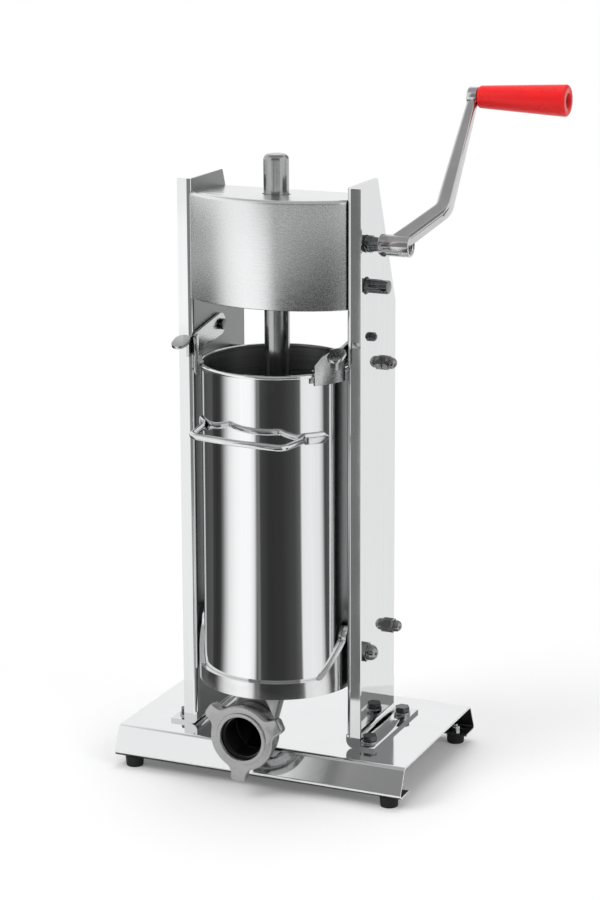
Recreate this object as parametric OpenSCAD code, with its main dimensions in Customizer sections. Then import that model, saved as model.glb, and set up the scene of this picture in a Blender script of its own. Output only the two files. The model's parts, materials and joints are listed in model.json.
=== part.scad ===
// Vertical sausage stuffer: a hand crank, a pinion and a rack press a piston down a steel cylinder.
// The origin is on the cylinder's axis, in the plane that the feet stand on.
// X runs to the crank side, -Y is the front with the outlet, and Z is up.

/* [Cylinder] */
// Outer diameter of the meat cylinder
cyl_d = 147; // [140:0.5:156]
// Wall of the meat cylinder
cyl_wall = 1; // [0.8:0.1:1.5]
// Height of the meat cylinder from floor to rim
cyl_h = 315; // [280:1:360]
// Thickness of the cylinder's floor
cyl_floor_t = 1.5; // [1:0.1:2.5]
// Height of the cylinder's floor above the base plate
cyl_lift = 62.5; // [60:0.5:75]
// Diameter of the bead rolled round the rim
rim_bead_d = 3.9; // [3:0.1:4.5]

/* [Cylinder handle] */
// Diameter of the handle's wire
wire_d = 6.4; // [5:0.1:7]
// Height of the handle below the rim
handle_drop = 60.5; // [50:0.5:90]
// How far the wire's corners stand in front of the cylinder's wall
handle_reach = 21.5; // [18:0.5:30]
// Half the distance between the handle's corners
handle_half_w = 47.5; // [40:0.5:52]
// Angle of each welded tab from the cylinder's front
tab_angle = 54; // [50:1:60]

/* [Cradle] */
// Clearance between the cradle's band and the cylinder
cradle_clear = 0.3; // [0.2:0.05:0.6]
// Thickness of the cradle's band
cradle_t = 4.7; // [3.5:0.1:5.2]
// Height of the cradle's band
cradle_h = 16; // [12:0.5:20]
// Thickness of the lip under the cylinder
cradle_lip_t = 3.5; // [2.5:0.1:5]
// Height of the cradle's pivot above the cylinder's floor
cradle_pivot_rise = 29; // [26:0.5:40]
// Place of the cradle's pivot behind the cylinder's axis
cradle_pivot_y = 5; // [0:0.5:10]

/* [Outlet] */
// Outer diameter of the threaded outlet
outlet_d = 50; // [46:0.5:52]
// Bore of the outlet
outlet_bore = 40; // [36:0.5:42]
// Drop of the outlet's axis below the cylinder's floor
outlet_drop = 41; // [40:0.5:44]
// Reach of the outlet's end in front of the cylinder's axis
outlet_reach = 84; // [82:0.5:88]
// Slope of the pipe from the outlet up to the cylinder
pipe_angle = 50; // [46:1:54]
// Diameter of the opening in the ring nut
nut_bore = 43; // [41:0.5:45]
// Radius of the ring nut's three lobes
lobe_r = 44.5; // [40:0.5:46]
// Radial clearance in the ring nut's thread
thread_clear = 0.08; // [0.05:0.01:0.1]

/* [Base] */
// Width of the base plate
base_w = 306; // [290:1:360]
// Flat depth of the base plate between its bends
base_depth = 185; // [178:1:220]
// Place of the front bend in front of the cylinder's axis
base_front = 49; // [47:0.5:51]
// Thickness of the base plate's sheet
base_t = 2; // [1.5:0.1:2.5]
// Height of the base plate's skirts
skirt_h = 29; // [26:0.5:34]
// How far the skirts splay outwards at the bottom
skirt_splay = 12.4; // [8:0.2:14]
// Width of the lips turned in under the skirts
lip_w = 24; // [23:0.5:30]
// Height of the rubber feet
foot_h = 11.5; // [10:0.5:15]
// Diameter of the rubber feet
foot_d = 19; // [17:0.5:21]

/* [Uprights] */
// Clearance between the rim's bead and each upright
upright_side_gap = 3.6; // [3.2:0.1:6]
// Thickness of the uprights' sheet
upright_t = 3; // [2.5:0.1:4]
// Width of the flange along each upright's front edge
flange_w = 14.7; // [12:0.1:17]
// Depth of the uprights from front to rear
upright_depth = 119; // [112:1:140]
// Depth of the uprights at the top
upright_top_depth = 71.5; // [70:0.5:80]
// Place of the uprights' front edge in front of the cylinder's axis
upright_front = 20.6; // [18:0.2:22]
// Reach of the foot flange beyond each upright's inner face
foot_flange_w = 29.5; // [28:0.5:34]
// Inside radius of the bend above the foot flange
foot_bend_r = 5; // [3:0.5:7]

/* [Gear housing] */
// Gap between the cylinder's rim and the gear housing
head_room = 57.7; // [50:0.5:80]
// Height of the gear housing at the front
housing_h = 104.6; // [102:0.2:115]
// Fall of the housing's top towards the rear
housing_fall = 5; // [2:0.5:6]
// Bulge of the housing's front between the uprights
housing_bulge = 28; // [20:0.5:32]
// Thickness of the housing's sheet
housing_t = 1.5; // [1:0.1:2]
// Height of the uprights above the housing's top
upright_above = 11.2; // [6:0.2:20]

/* [Gears] */
// Module of the rack and its pinion
rack_module = 2; // [1.8:0.05:2]
// Teeth of the rack pinion
rack_pinion_teeth = 12; // [12:1:12]
// Module of the reduction gears
gear_module = 1.5; // [1.4:0.05:1.5]
// Teeth of the drive gear on the upper shaft
drive_gear_teeth = 40; // [38:1:40]
// Teeth of the pinion on the lower shaft
low_pinion_teeth = 14; // [14:1:15]
// Thinning of each tooth for tooth_clear
tooth_clear = 0.25; // [0.15:0.01:0.35]
// Diameter of both shafts
shaft_d = 14; // [12:0.5:14]
// Radial clearance of shafts and rod in their bushes
running_clear = 0.05; // [0.02:0.01:0.08]

/* [Rod and piston] */
// Diameter of the rack rod
rod_d = 24.5; // [23.5:0.1:25.5]
// Height of the rod above the housing with the piston low
rod_proud = 37; // [30:0.5:60]
// Height of the piston above the cylinder's floor
piston_rest = 24; // [20:0.5:30]
// Thickness of the piston
piston_h = 18; // [16:0.5:22]
// Clearance of the piston seal in the cylinder
piston_clear = 0.3; // [0.2:0.05:0.5]

/* [Crank] */
// Radius of the crank, from the shaft to the grip
crank_r = 170; // [150:1:200]
// Lean of the crank behind the vertical
crank_lean_angle = 39.4; // [0:0.1:60]
// Outward offset of the crank's arm
crank_offset = 39; // [30:0.5:50]
// Radius at which the offset ends
crank_elbow_r = 42.5; // [36:0.5:60]
// Diameter of the crank's hub
hub_d = 20.6; // [19:0.1:24]
// Length of the crank's hub
hub_l = 35; // [30:0.5:42]
// Length of the grip
grip_l = 90; // [80:0.5:110]
// Diameter of the grip at the arm
grip_d_in = 22; // [20:0.2:25]
// Diameter of the grip at its free end
grip_d_out = 31.4; // [28:0.2:36]

/* [Levers] */
// Height of the levers' pivots above the rim
lever_rise = 22; // [20:0.5:26]
// Place of the levers' pivots behind the cylinder's axis
lever_pivot_y = 35; // [32:0.5:40]
// Thickness of the levers
lever_t = 3; // [2.5:0.1:3.2]
// Depth of the levers' arms
lever_h = 20; // [17:0.5:22]
// Clearance between the levers' lips and the rim
lever_clear = 0.6; // [0.4:0.05:1]

/* [Hidden] */
$fn = 96;
fine_fn = 48;
wire_fn = 24;
over = 1;
press_gap = 0.02;
face_gap = 0.3;
hex_fn = 6;

// Levels
base_top = foot_h + skirt_h;
floor_z = base_top + cyl_lift;
rim_z = floor_z + cyl_h;
housing_z = rim_z + head_room;
housing_top = housing_z + housing_h;
upright_top = housing_top + upright_above;
kink_drop = 11.2;
kink_z = housing_z - kink_drop;

// Cylinder and cradle
cyl_r = cyl_d / 2;
cyl_ir = cyl_r - cyl_wall;
rim_r = cyl_r - cyl_wall / 2 + rim_bead_d;
weld_gap = 0.25;
cradle_ir = cyl_r + cradle_clear;
cradle_r = cradle_ir + cradle_t;
cradle_lip_w = 8;
pivot_z = floor_z + cradle_pivot_rise;
ear_r = 17;
ear_rise = 15;
ear_shift = 2;
boss_gap = 1.2;
ear_front_share = 0.62;
ear_rear_share = 0.42;

// Uprights
gap_half = rim_r + upright_side_gap;
plate_x = gap_half + upright_t;
front_y = -upright_front;
rear_y = front_y + upright_depth;
rear_top_y = front_y + upright_top_depth;
flange_bend_r = 1.5;
foot_x = gap_half + foot_flange_w;

// Fasteners: across flats, head height and shank of each thread size
m8_af = 13;
m8_head = 5.5;
m8_nut = 6.5;
m8_d = 8;
m10_af = 17;
m10_nut = 10;
m10_d = 10;
m5_d = 5;
m5_nut_af = 8;
m5_nut = 4;
m5_head_d = 9.5;
m5_head = 2.5;
hole_clear = 0.2;
dome_share = 0.46;
neck_share = 0.12;
thread_past = 2;

// Shafts and gears
low_shaft_rise = 16.6;
rack_depth_share = 1.1;
rack_margin = 16;
shaft_y = rod_d / 2 - rack_module * rack_depth_share + rack_module * rack_pinion_teeth / 2;
low_z = housing_z + low_shaft_rise;
gear_centres = gear_module * (drive_gear_teeth + low_pinion_teeth) / 2;
high_z = low_z + gear_centres;
shaft_r = shaft_d / 2;
bush_wall = 1.6;
bush_flange_t = 1.5;
bush_flange_w = 1.8;
bush_proud = 0.5;
bush_fit = 0.05;
gear_x = 34;
gear_w = 10;
low_pinion_w = 14;
rack_pinion_w = 22;
low_shaft_free = 23.5;
shaft_left_past = 1;
ring_t = 1.2;
ring_w = 2.2;
ring_gap = 0.4;
flat_depth = 0.8;
flat_l = 9;
seat_step = 0.2;
seat_r = shaft_r - seat_step;
seat_chamfer = 0.8;
low_step = 3;
hub_step = 1;
collar_w = 5.6;
collar_step = 1.25;
bush_x = gap_half - housing_t - bush_flange_t;
pressure_angle = 20;
addendum_share = 0.95;
dedendum_share = 1.2;

// Housing
bulge_r = (gap_half * gap_half + housing_bulge * housing_bulge) / (2 * housing_bulge);
housing_setback = 1.5;
housing_front_y = front_y - housing_setback;
housing_rear_gap = 3;
bridge_t = 6;
bridge_drop = 8;
floor_plate_t = 3;
bush_flange_r = 5;
rod_bush_wall = 3;
rod_bush_lip = 2;

// Rod and piston
rod_r = rod_d / 2;
piston_z = floor_z + piston_rest;
rod_bottom = piston_z + piston_h;
rod_top = housing_top + rod_proud;
rod_round = 5;
rod_spigot_d = 12;
piston_clear_share = 2.5;
piston_r = cyl_ir - piston_clear * piston_clear_share;
seal_r = cyl_ir - piston_clear;
seal_h = 9;
seal_w = 6;
rack_travel_up = rim_z - floor_z - piston_rest + seal_h;
valve_y = -42;
valve_d = 6;
valve_head_d = 12;
valve_head_t = 2;
valve_clear = 0.08;
valve_past = 5;

// Crank
hub_gap = 11;
hub_x = plate_x + hub_gap;
hub_recess = 8;
hub_arm_share = 0.52;
arm_x = hub_x + hub_l * hub_arm_share;
arm_w_root = 13.5;
arm_w_elbow = 12.5;
arm_w_tip = 9.6;
arm_d_root = 13;
arm_d_elbow = 12;
arm_d_tip = 8.5;
eye_d = 19;
pin_d = 8;
pin_head_d = 12;
pin_head_t = 5;
pin_past = 1.5;
grip_recess_d = 14.5;
grip_recess = 8;
grip_round = 3;
grip_gap = 0.6;
arm_tip_x = arm_x + crank_offset;
crank_screw_d = 6;
crank_screw_h = 4;

// Levers
lever_z = rim_z + lever_rise;
lever_side_gap = 1;
lever_x = gap_half - lever_side_gap - lever_t;
lever_eye_grow = 1;
lever_eye_r = lever_h / 2 + lever_eye_grow;
lip_r = rim_r + lever_clear;
lip_below = 10.5;
lip_above = 3;
lip_from_angle = 13;
lip_to_angle = 40;
tongue_r = cyl_ir + lever_clear;
tongue_t = 2.5;
lever_screw_d = 5;
lever_head_d = 11;
lever_head_t = 3.6;
thumb_w = 16;
thumb_l = 22;

steel = [0.78, 0.79, 0.80];
satin = [0.62, 0.63, 0.64];
dark_steel = [0.32, 0.33, 0.34];
bronze = [0.70, 0.52, 0.30];
black = [0.08, 0.08, 0.08];
red = [0.85, 0.07, 0.08];
white = [0.90, 0.90, 0.87];

// Vector helpers in the plane
function unit(v) = v / norm(v);
function left_of(v) = [-v[1], v[0]];
function side_sign(a, b) = (a[0] * b[1] - a[1] * b[0]) < 0 ? -1 : 1;
function turned(v, angle) = [v[0] * cos(angle) - v[1] * sin(angle), v[0] * sin(angle) + v[1] * cos(angle)];
function on_circle(r, angle) = [r * cos(angle), r * sin(angle)];
function reversed(p) = [for (i = [len(p) - 1 : -1 : 0]) p[i]];

// Arc that rounds corner b of the path a, b, c with radius r
function corner_arc(a, b, c, r, steps) =
    let (
        back = unit(a - b),
        ahead = unit(c - b),
        angle = acos(back * ahead),
        start = b + back * r / tan(angle / 2),
        centre = b + unit(back + ahead) * r / sin(angle / 2),
        turn = side_sign(b - a, c - b)
    )
    [for (i = [0 : steps]) centre + turned(start - centre, turn * (180 - angle) * i / steps)];

// Path shifted to its left by off, with each inner corner rounded
function shifted(points, i, off) =
    let (
        n = len(points) - 1,
        d_in = i > 0 ? unit(points[i] - points[i - 1]) : unit(points[1] - points[0]),
        d_out = i < n ? unit(points[i + 1] - points[i]) : d_in,
        n_in = left_of(d_in),
        n_out = left_of(d_out)
    )
    points[i] + (n_in + n_out) * off / (1 + n_in * n_out);

function side_path(points, radii, off, steps) =
    let (n = len(points) - 1, moved = [for (i = [0 : n]) shifted(points, i, off)])
    [for (i = [0 : n])
        each i == 0 || i == n
            ? [moved[i]]
            : corner_arc(moved[i - 1], moved[i], moved[i + 1],
                radii[i] - side_sign(points[i] - points[i - 1], points[i + 1] - points[i]) * off, steps)];

// Outline of a bent sheet of thickness t along a centre line
function sheet(points, radii, t, steps = 8) =
    concat(side_path(points, radii, t / 2, steps), reversed(side_path(points, radii, -t / 2, steps)));

// Shapes drawn in the YZ plane and extruded along X, or drawn in XZ and extruded along Y
module along_x(from, to) {
    translate([from, 0, 0])
        rotate([90, 0, 90])
            linear_extrude(to - from)
                children();
}

module along_y(from, to) {
    translate([0, to, 0])
        rotate([90, 0, 0])
            linear_extrude(to - from)
                children();
}

module rod_x(from, to, r) {
    translate([from, 0, 0])
        rotate([0, 90, 0])
            cylinder(h = to - from, r = r);
}

module both_sides() {
    children();
    mirror([1, 0, 0])
        children();
}

module hex_x(from, to, af) {
    translate([from, 0, 0])
        rotate([0, 90, 0])
            rotate([0, 0, 30])
                cylinder(h = to - from, d = af / cos(30), $fn = hex_fn);
}

// Domed nut with its seat at the given X, the dome pointing to +X
module acorn_nut(seat, af, hex_h, thread_d, reach) {
    dome_r = af * dome_share;
    neck_h = af * neck_share;
    difference() {
        union() {
            hex_x(seat, seat + hex_h, af);
            rod_x(seat + hex_h, seat + hex_h + neck_h, dome_r);
            translate([seat + hex_h + neck_h, 0, 0])
                rotate([0, 90, 0])
                    difference() {
                        sphere(r = dome_r, $fn = fine_fn);
                        translate([0, 0, -af / 2])
                            cube(af, center = true);
                    }
        }
        rod_x(seat - over, seat + reach + press_gap, thread_d / 2 + press_gap);
    }
}

// Gear outline with involute flanks
function inv(r, base_r) =
    let (t = sqrt(max(0, r * r / (base_r * base_r) - 1)))
    t * 180 / PI - atan(t);

function flank_r(root_r, tip_r, base_r, i, n) = max(root_r, base_r) + (tip_r - max(root_r, base_r)) * i / n;

function gear_outline(module_size, teeth, steps = 5) =
    let (
        pitch_r = module_size * teeth / 2,
        base_r = pitch_r * cos(pressure_angle),
        tip_r = pitch_r + module_size * addendum_share,
        root_r = pitch_r - module_size * dedendum_share,
        half = 90 / teeth - tooth_clear / 2 / pitch_r * 180 / PI,
        inv_pitch = inv(pitch_r, base_r)
    )
    [for (tooth = [0 : teeth - 1])
        let (mid = tooth * 360 / teeth)
        each concat(
            [on_circle(root_r, mid - half - inv_pitch)],
            [for (i = [0 : steps])
                let (r = flank_r(root_r, tip_r, base_r, i, steps))
                on_circle(r, mid - half - inv_pitch + inv(r, base_r))],
            [for (i = [steps : -1 : 0])
                let (r = flank_r(root_r, tip_r, base_r, i, steps))
                on_circle(r, mid + half + inv_pitch - inv(r, base_r))],
            [on_circle(root_r, mid + half + inv_pitch)]
        )];

// Wire bent in the XY plane, one ring at each station [place, half width, half height]
module bent_wire(stations) {
    last = len(stations) - 1;
    function way(i) =
        unit(
            (i > 0 ? unit(stations[i][0] - stations[i - 1][0]) : [0, 0])
            + (i < last ? unit(stations[i + 1][0] - stations[i][0]) : [0, 0])
        );
    rings = [for (i = [0 : last]) for (k = [0 : wire_fn - 1])
        let (
            turn = k * 360 / wire_fn,
            place = stations[i][0] + left_of(way(i)) * cos(turn) * stations[i][1]
        )
        [place[0], place[1], sin(turn) * stations[i][2]]];
    polyhedron(
        points = rings,
        faces = concat(
            [[for (k = [0 : wire_fn - 1]) k]],
            [[for (k = [wire_fn - 1 : -1 : 0]) last * wire_fn + k]],
            [for (i = [0 : last - 1]) for (k = [0 : wire_fn - 1])
                let (next = (k + 1) % wire_fn)
                [i * wire_fn + k, (i + 1) * wire_fn + k, (i + 1) * wire_fn + next, i * wire_fn + next]]
        )
    );
}

function round_stations(path, r) = [for (place = path) [place, r, r]];
function mirrored(stations) =
    [for (i = [len(stations) - 1 : -1 : 0])
        [[-stations[i][0][0], stations[i][0][1]], stations[i][1], stations[i][2]]];

// Base plate, feet and their fasteners
skirt_front_y = -base_front - skirt_splay;
skirt_rear_y = -base_front + base_depth + skirt_splay;
foot_inset = 12.5;
foot_side = 16;
lip_bend_r = 3;
top_bend_r = 4;
foot_places = [
    for (x = [-1, 1]) for (y = [skirt_front_y + foot_inset, skirt_rear_y - foot_inset])
        [x * (base_w / 2 - foot_side), y]
];
upright_bolt_out = 15.4;
upright_bolt_x = plate_x + upright_bolt_out;
upright_bolt_shares = [0.135, 0.873];
upright_bolt_places = [
    for (x = [-1, 1]) for (s = upright_bolt_shares)
        [x * upright_bolt_x, front_y + upright_depth * s]
];

module base_plate() color(steel)
    difference() {
        along_x(-base_w / 2, base_w / 2)
            polygon(sheet([
                [skirt_front_y + lip_w, foot_h + base_t / 2],
                [skirt_front_y, foot_h + base_t / 2],
                [-base_front, base_top - base_t / 2],
                [-base_front + base_depth, base_top - base_t / 2],
                [skirt_rear_y, foot_h + base_t / 2],
                [skirt_rear_y - lip_w, foot_h + base_t / 2]
            ], [0, lip_bend_r, top_bend_r, top_bend_r, lip_bend_r, 0], base_t));
        for (p = upright_bolt_places)
            translate([p[0], p[1], base_top - base_t - over])
                cylinder(h = base_t + 2 * over, d = m8_d + 2 * hole_clear);
        for (p = foot_places)
            translate([p[0], p[1], foot_h - over])
                cylinder(h = base_t + 2 * over, d = m5_d + 2 * hole_clear);
    }

foot_recess = 5;
foot_recess_d = 11;
foot_taper = 2;

module rubber_feet() color(black)
    for (p = foot_places)
        translate([p[0], p[1], 0])
            difference() {
                cylinder(h = foot_h, d1 = foot_d - foot_taper, d2 = foot_d);
                translate([0, 0, -over])
                    cylinder(h = foot_recess + over, d = foot_recess_d);
                cylinder(h = foot_h + over, d = m5_d + 2 * hole_clear);
            }

module foot_screws() color(dark_steel)
    for (p = foot_places)
        translate([p[0], p[1], foot_recess - m5_head]) {
            cylinder(h = m5_head, d = m5_head_d);
            cylinder(h = foot_h + base_t + m5_nut + thread_past - foot_recess + m5_head, d = m5_d);
        }

module foot_nuts() color(dark_steel)
    for (p = foot_places)
        translate([p[0], p[1], foot_h + base_t])
            difference() {
                cylinder(h = m5_nut, d = m5_nut_af / cos(30), $fn = hex_fn);
                translate([0, 0, -over])
                    cylinder(h = m5_nut + 2 * over, d = m5_d + 2 * press_gap);
            }

// Uprights
module upright() {
    lower_z = base_top + upright_t + foot_bend_r;
    difference() {
        union() {
            along_x(gap_half, plate_x)
                polygon([
                    [front_y + upright_t + flange_bend_r, lower_z],
                    [front_y + upright_t + flange_bend_r, upright_top],
                    [rear_top_y, upright_top],
                    [rear_y, kink_z],
                    [rear_y, lower_z]
                ]);
            translate([0, 0, lower_z])
                linear_extrude(upright_top - lower_z)
                    polygon(sheet([
                        [gap_half + upright_t / 2, front_y + upright_t + 2 * flange_bend_r],
                        [gap_half + upright_t / 2, front_y + upright_t / 2],
                        [gap_half + flange_w, front_y + upright_t / 2]
                    ], [0, flange_bend_r + upright_t / 2, 0], upright_t));
            along_y(front_y, rear_y)
                polygon(sheet([
                    [gap_half + upright_t / 2, lower_z + foot_bend_r],
                    [gap_half + upright_t / 2, base_top + upright_t / 2],
                    [foot_x, base_top + upright_t / 2]
                ], [0, foot_bend_r + upright_t / 2, 0], upright_t));
            along_y(front_y, front_y + upright_t)
                difference() {
                    translate([gap_half + upright_t, base_top + upright_t / 2])
                        square([flange_w - upright_t, foot_bend_r + upright_t]);
                    translate([gap_half, base_top - over])
                        square([upright_t / 2, upright_t]);
                }
        }
        for (s = upright_bolt_shares)
            translate([upright_bolt_x, front_y + upright_depth * s, base_top - over])
                cylinder(h = upright_t + 2 * over, d = m8_d + 2 * hole_clear);
        for (z = [low_z, high_z])
            translate([0, shaft_y, z])
                rod_x(gap_half - over, plate_x + over, shaft_r + bush_wall + bush_fit);
        for (p = [stop_bar_place, tie_bar_place])
            translate([0, p[0], p[1]])
                rod_x(gap_half - over, plate_x + over, m8_d / 2 + hole_clear);
        translate([0, cradle_pivot_y, pivot_z])
            rod_x(gap_half - over, plate_x + over, m10_d / 2 + hole_clear);
        translate([0, lever_pivot_y, lever_z])
            rod_x(gap_half - over, plate_x + over, lever_screw_d / 2 + hole_clear);
    }
}

module left_upright() color(steel)
    mirror([1, 0, 0])
        upright();

module right_upright() color(steel)
    upright();

module upright_bolts() color(dark_steel)
    for (p = upright_bolt_places)
        translate([p[0], p[1], base_top + upright_t + washer_t]) {
            cylinder(h = m8_head, d = m8_af / cos(30), $fn = hex_fn);
            translate([0, 0, -washer_t - upright_t - base_t - m8_nut - thread_past])
                cylinder(h = washer_t + upright_t + base_t + m8_nut + thread_past + over, d = m8_d);
        }

washer_t = 1.6;
washer_d = 16;

module upright_washers() color(steel)
    for (p = upright_bolt_places)
        translate([p[0], p[1], base_top + upright_t])
            difference() {
                cylinder(h = washer_t, d = washer_d);
                translate([0, 0, -over])
                    cylinder(h = washer_t + 2 * over, d = m8_d + 2 * hole_clear);
            }

module upright_nuts() color(dark_steel)
    for (p = upright_bolt_places)
        translate([p[0], p[1], base_top - base_t - m8_nut])
            difference() {
                cylinder(h = m8_nut, d = m8_af / cos(30), $fn = hex_fn);
                translate([0, 0, -over])
                    cylinder(h = m8_nut + 2 * over, d = m8_d + 2 * press_gap);
            }

// Cross bars between the uprights, placed as [y, z]
stop_bar_d = 10;
stop_bar_drop = 10;
stop_bar_gap = 1.2;
tie_bar_d = 12;
tie_bar_gap = 4;
tie_bar_rise = 31.5;
stop_bar_y = 67;
stop_bar_place = [stop_bar_y, rim_z - stop_bar_drop];
tie_bar_place = [cyl_r + tie_bar_gap + tie_bar_d / 2, floor_z + tie_bar_rise];
stop_bar_back_y = rim_r + stop_bar_gap + stop_bar_d / 2;
stop_bar_leg = 20;
stop_bar_bend_r = 14;
stop_bar_slant_share = 1.4;
bar_chamfer = 0.5;
bar_gap = 0.1;

m8_thread_l = 9;

stop_bar_end = gap_half - bar_gap;
stop_bar_knee = gap_half - stop_bar_leg;
stop_bar_run = (stop_bar_back_y - stop_bar_y) * stop_bar_slant_share;
stop_bar_half = concat(
    [
        [[-plate_x - m8_thread_l, stop_bar_y], m8_d / 2, m8_d / 2],
        [[-stop_bar_end - bar_chamfer, stop_bar_y], m8_d / 2, m8_d / 2],
        [[-stop_bar_end, stop_bar_y], stop_bar_d / 2 - bar_chamfer, stop_bar_d / 2 - bar_chamfer],
        [[-stop_bar_end + bar_chamfer, stop_bar_y], stop_bar_d / 2, stop_bar_d / 2]
    ],
    round_stations(corner_arc(
        [-gap_half, stop_bar_y],
        [-stop_bar_knee, stop_bar_y],
        [-stop_bar_knee + stop_bar_run, stop_bar_back_y],
        stop_bar_bend_r, 6), stop_bar_d / 2),
    round_stations(corner_arc(
        [-stop_bar_knee, stop_bar_y],
        [-stop_bar_knee + stop_bar_run, stop_bar_back_y],
        [0, stop_bar_back_y],
        stop_bar_bend_r, 6), stop_bar_d / 2)
);

module rear_stop_bar() color(satin)
    translate([0, 0, stop_bar_place[1]])
        bent_wire(concat(stop_bar_half, mirrored(stop_bar_half)));

module lower_tie_bar() color(satin)
    translate([0, tie_bar_place[0], tie_bar_place[1]]) {
        rod_x(-gap_half, gap_half, tie_bar_d / 2);
        rod_x(-plate_x - m8_thread_l, plate_x + m8_thread_l, m8_d / 2);
    }

module acorn_nuts() color(satin)
    for (p = [stop_bar_place, tie_bar_place])
        translate([0, p[0], p[1]])
            both_sides()
                acorn_nut(plate_x, m8_af, m8_nut, m8_d, m8_thread_l);

// Gear housing: a bulged front sheet, its sloping top and side walls
function housing_plan(inset) =
    let (
        r = bulge_r - inset,
        centre_y = housing_front_y - housing_bulge + bulge_r,
        half_w = gap_half - inset,
        half_angle = asin(half_w / r)
    )
    concat(
        [[-half_w, rear_y + over]],
        [for (i = [-12 : 12]) [0, centre_y] + on_circle(r, 270 + half_angle * i / 12)],
        [[half_w, rear_y + over]]
    );

function rear_edge_y(z) = rear_top_y + (rear_y - rear_top_y) * (upright_top - z) / (upright_top - kink_z)
    - housing_rear_gap;

module housing_block(inset, past) {
    intersection() {
        translate([0, 0, housing_z - past])
            linear_extrude(housing_h + 2 * past)
                polygon(housing_plan(inset));
        along_x(-gap_half - over, gap_half + over)
            polygon([
                [housing_front_y - housing_bulge - over, housing_z - past],
                [housing_front_y - housing_bulge - over, housing_top - inset],
                [housing_front_y, housing_top - inset],
                [rear_edge_y(housing_top) + past, housing_top - housing_fall - inset],
                [rear_edge_y(housing_z) + past, housing_z - past]
            ]);
    }
}

module gear_housing() color(satin)
    difference() {
        housing_block(0, 0);
        housing_block(housing_t, over);
        translate([0, 0, housing_top - bridge_drop])
            cylinder(h = bridge_drop + over, r = rod_r + housing_t);
        both_sides()
            for (z = [low_z, high_z])
                translate([0, shaft_y, z])
                    rod_x(gap_half - housing_t - over, gap_half + over, shaft_r + bush_wall + hole_clear);
    }

module rear_cover() color(satin)
    along_x(-gap_half, gap_half)
        polygon([
            [rear_edge_y(housing_top), housing_top - housing_fall],
            [rear_edge_y(housing_top) + housing_t, housing_top - housing_fall],
            [rear_edge_y(housing_z) + housing_t, housing_z],
            [rear_edge_y(housing_z), housing_z]
        ]);

module housing_floor() color(satin)
    difference() {
        translate([0, 0, housing_z])
            linear_extrude(floor_plate_t)
                intersection() {
                    polygon(housing_plan(housing_t));
                    translate([-gap_half, housing_front_y - housing_bulge - over])
                        square([2 * gap_half, rear_edge_y(housing_z + floor_plate_t) - face_gap - housing_front_y
                            + housing_bulge + over]);
                }
        translate([0, 0, housing_z - over])
            cylinder(h = floor_plate_t + 2 * over, r = rod_r + rod_bush_wall + press_gap);
    }

bridge_front = 17;
bridge_rear = 20;
bridge_z = housing_top - housing_t - bridge_drop - bridge_t / 2;

module guide_bridge() color(satin)
    difference() {
        translate([-gap_half + housing_t, -bridge_front, bridge_z])
            cube([2 * (gap_half - housing_t), bridge_front + bridge_rear, bridge_t]);
        translate([0, 0, bridge_z - over])
            cylinder(h = bridge_t + 2 * over, r = rod_r + rod_bush_wall + press_gap);
    }

module rod_bush(z, t) {
    translate([0, 0, z])
        difference() {
            union() {
                cylinder(h = t + rod_bush_lip, r = rod_r + rod_bush_wall);
                translate([0, 0, t])
                    cylinder(h = rod_bush_lip, r = rod_r + rod_bush_wall + bush_flange_r / 2);
            }
            translate([0, 0, -over])
                cylinder(h = t + rod_bush_lip + 2 * over, r = rod_r + running_clear);
        }
}

module rod_bushes() color(white) {
    rod_bush(housing_z, floor_plate_t);
    rod_bush(bridge_z, bridge_t);
}

module shaft_bushes() color(bronze)
    both_sides()
        for (z = [low_z, high_z])
            translate([0, shaft_y, z])
                difference() {
                    union() {
                        rod_x(bush_x, plate_x + bush_proud, shaft_r + bush_wall);
                        rod_x(bush_x, bush_x + bush_flange_t, shaft_r + bush_wall + bush_flange_w);
                    }
                    rod_x(bush_x - over, plate_x + bush_proud + over, shaft_r + running_clear);
                }

// Upper shaft with its rack pinion and drive gear
module shaft_ring(z, from, to, r) {
    translate([0, shaft_y, z])
        difference() {
            rod_x(from, to, r);
            rod_x(from - over, to + over, shaft_r + press_gap);
        }
}

module inner_rings(z) {
    both_sides()
        shaft_ring(z, bush_x - ring_gap - ring_t, bush_x - ring_gap, shaft_r + ring_w);
}

module on_shaft(z, from, to) {
    translate([0, shaft_y, z])
        difference() {
            translate([from, 0, 0])
                rotate([0, 90, 0])
                    linear_extrude(to - from)
                        children();
            rod_x(from - over, to + over, shaft_r + press_gap);
        }
}

// Both shafts end in a crank seat, slightly thinner than the shaft, with a chamfered tip and a flat
module stepped_shaft(seat_from, seat_to) {
    difference() {
        union() {
            rod_x(-plate_x - shaft_left_past, seat_from, shaft_r);
            rod_x(seat_from - over, seat_to - seat_chamfer, seat_r);
            translate([seat_to - seat_chamfer, 0, 0])
                rotate([0, 90, 0])
                    cylinder(h = seat_chamfer, r1 = seat_r, r2 = seat_r - seat_chamfer);
        }
        translate([seat_to - flat_l, -shaft_r, seat_r - flat_depth])
            cube([flat_l + over, shaft_d, shaft_d]);
    }
}

module upper_shaft() color(dark_steel)
    translate([0, shaft_y, high_z])
        stepped_shaft(hub_x - hub_step, hub_x + hub_l - hub_recess);

module upper_shaft_rings() color(dark_steel) {
    inner_rings(high_z);
    shaft_ring(high_z, plate_x + bush_proud + ring_gap, plate_x + bush_proud + ring_gap + collar_w,
        shaft_r + collar_step);
}

module drive_gear() color(satin)
    on_shaft(high_z, gear_x, gear_x + gear_w)
        polygon(gear_outline(gear_module, drive_gear_teeth));

// A rack tooth stands level with the pinion's axis, so the pinion has a gap towards the rod
module rack_pinion() color(satin)
    on_shaft(high_z, -rack_pinion_w / 2, rack_pinion_w / 2)
        rotate([0, 0, 270 + 180 / rack_pinion_teeth])
            polygon(gear_outline(rack_module, rack_pinion_teeth));

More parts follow.
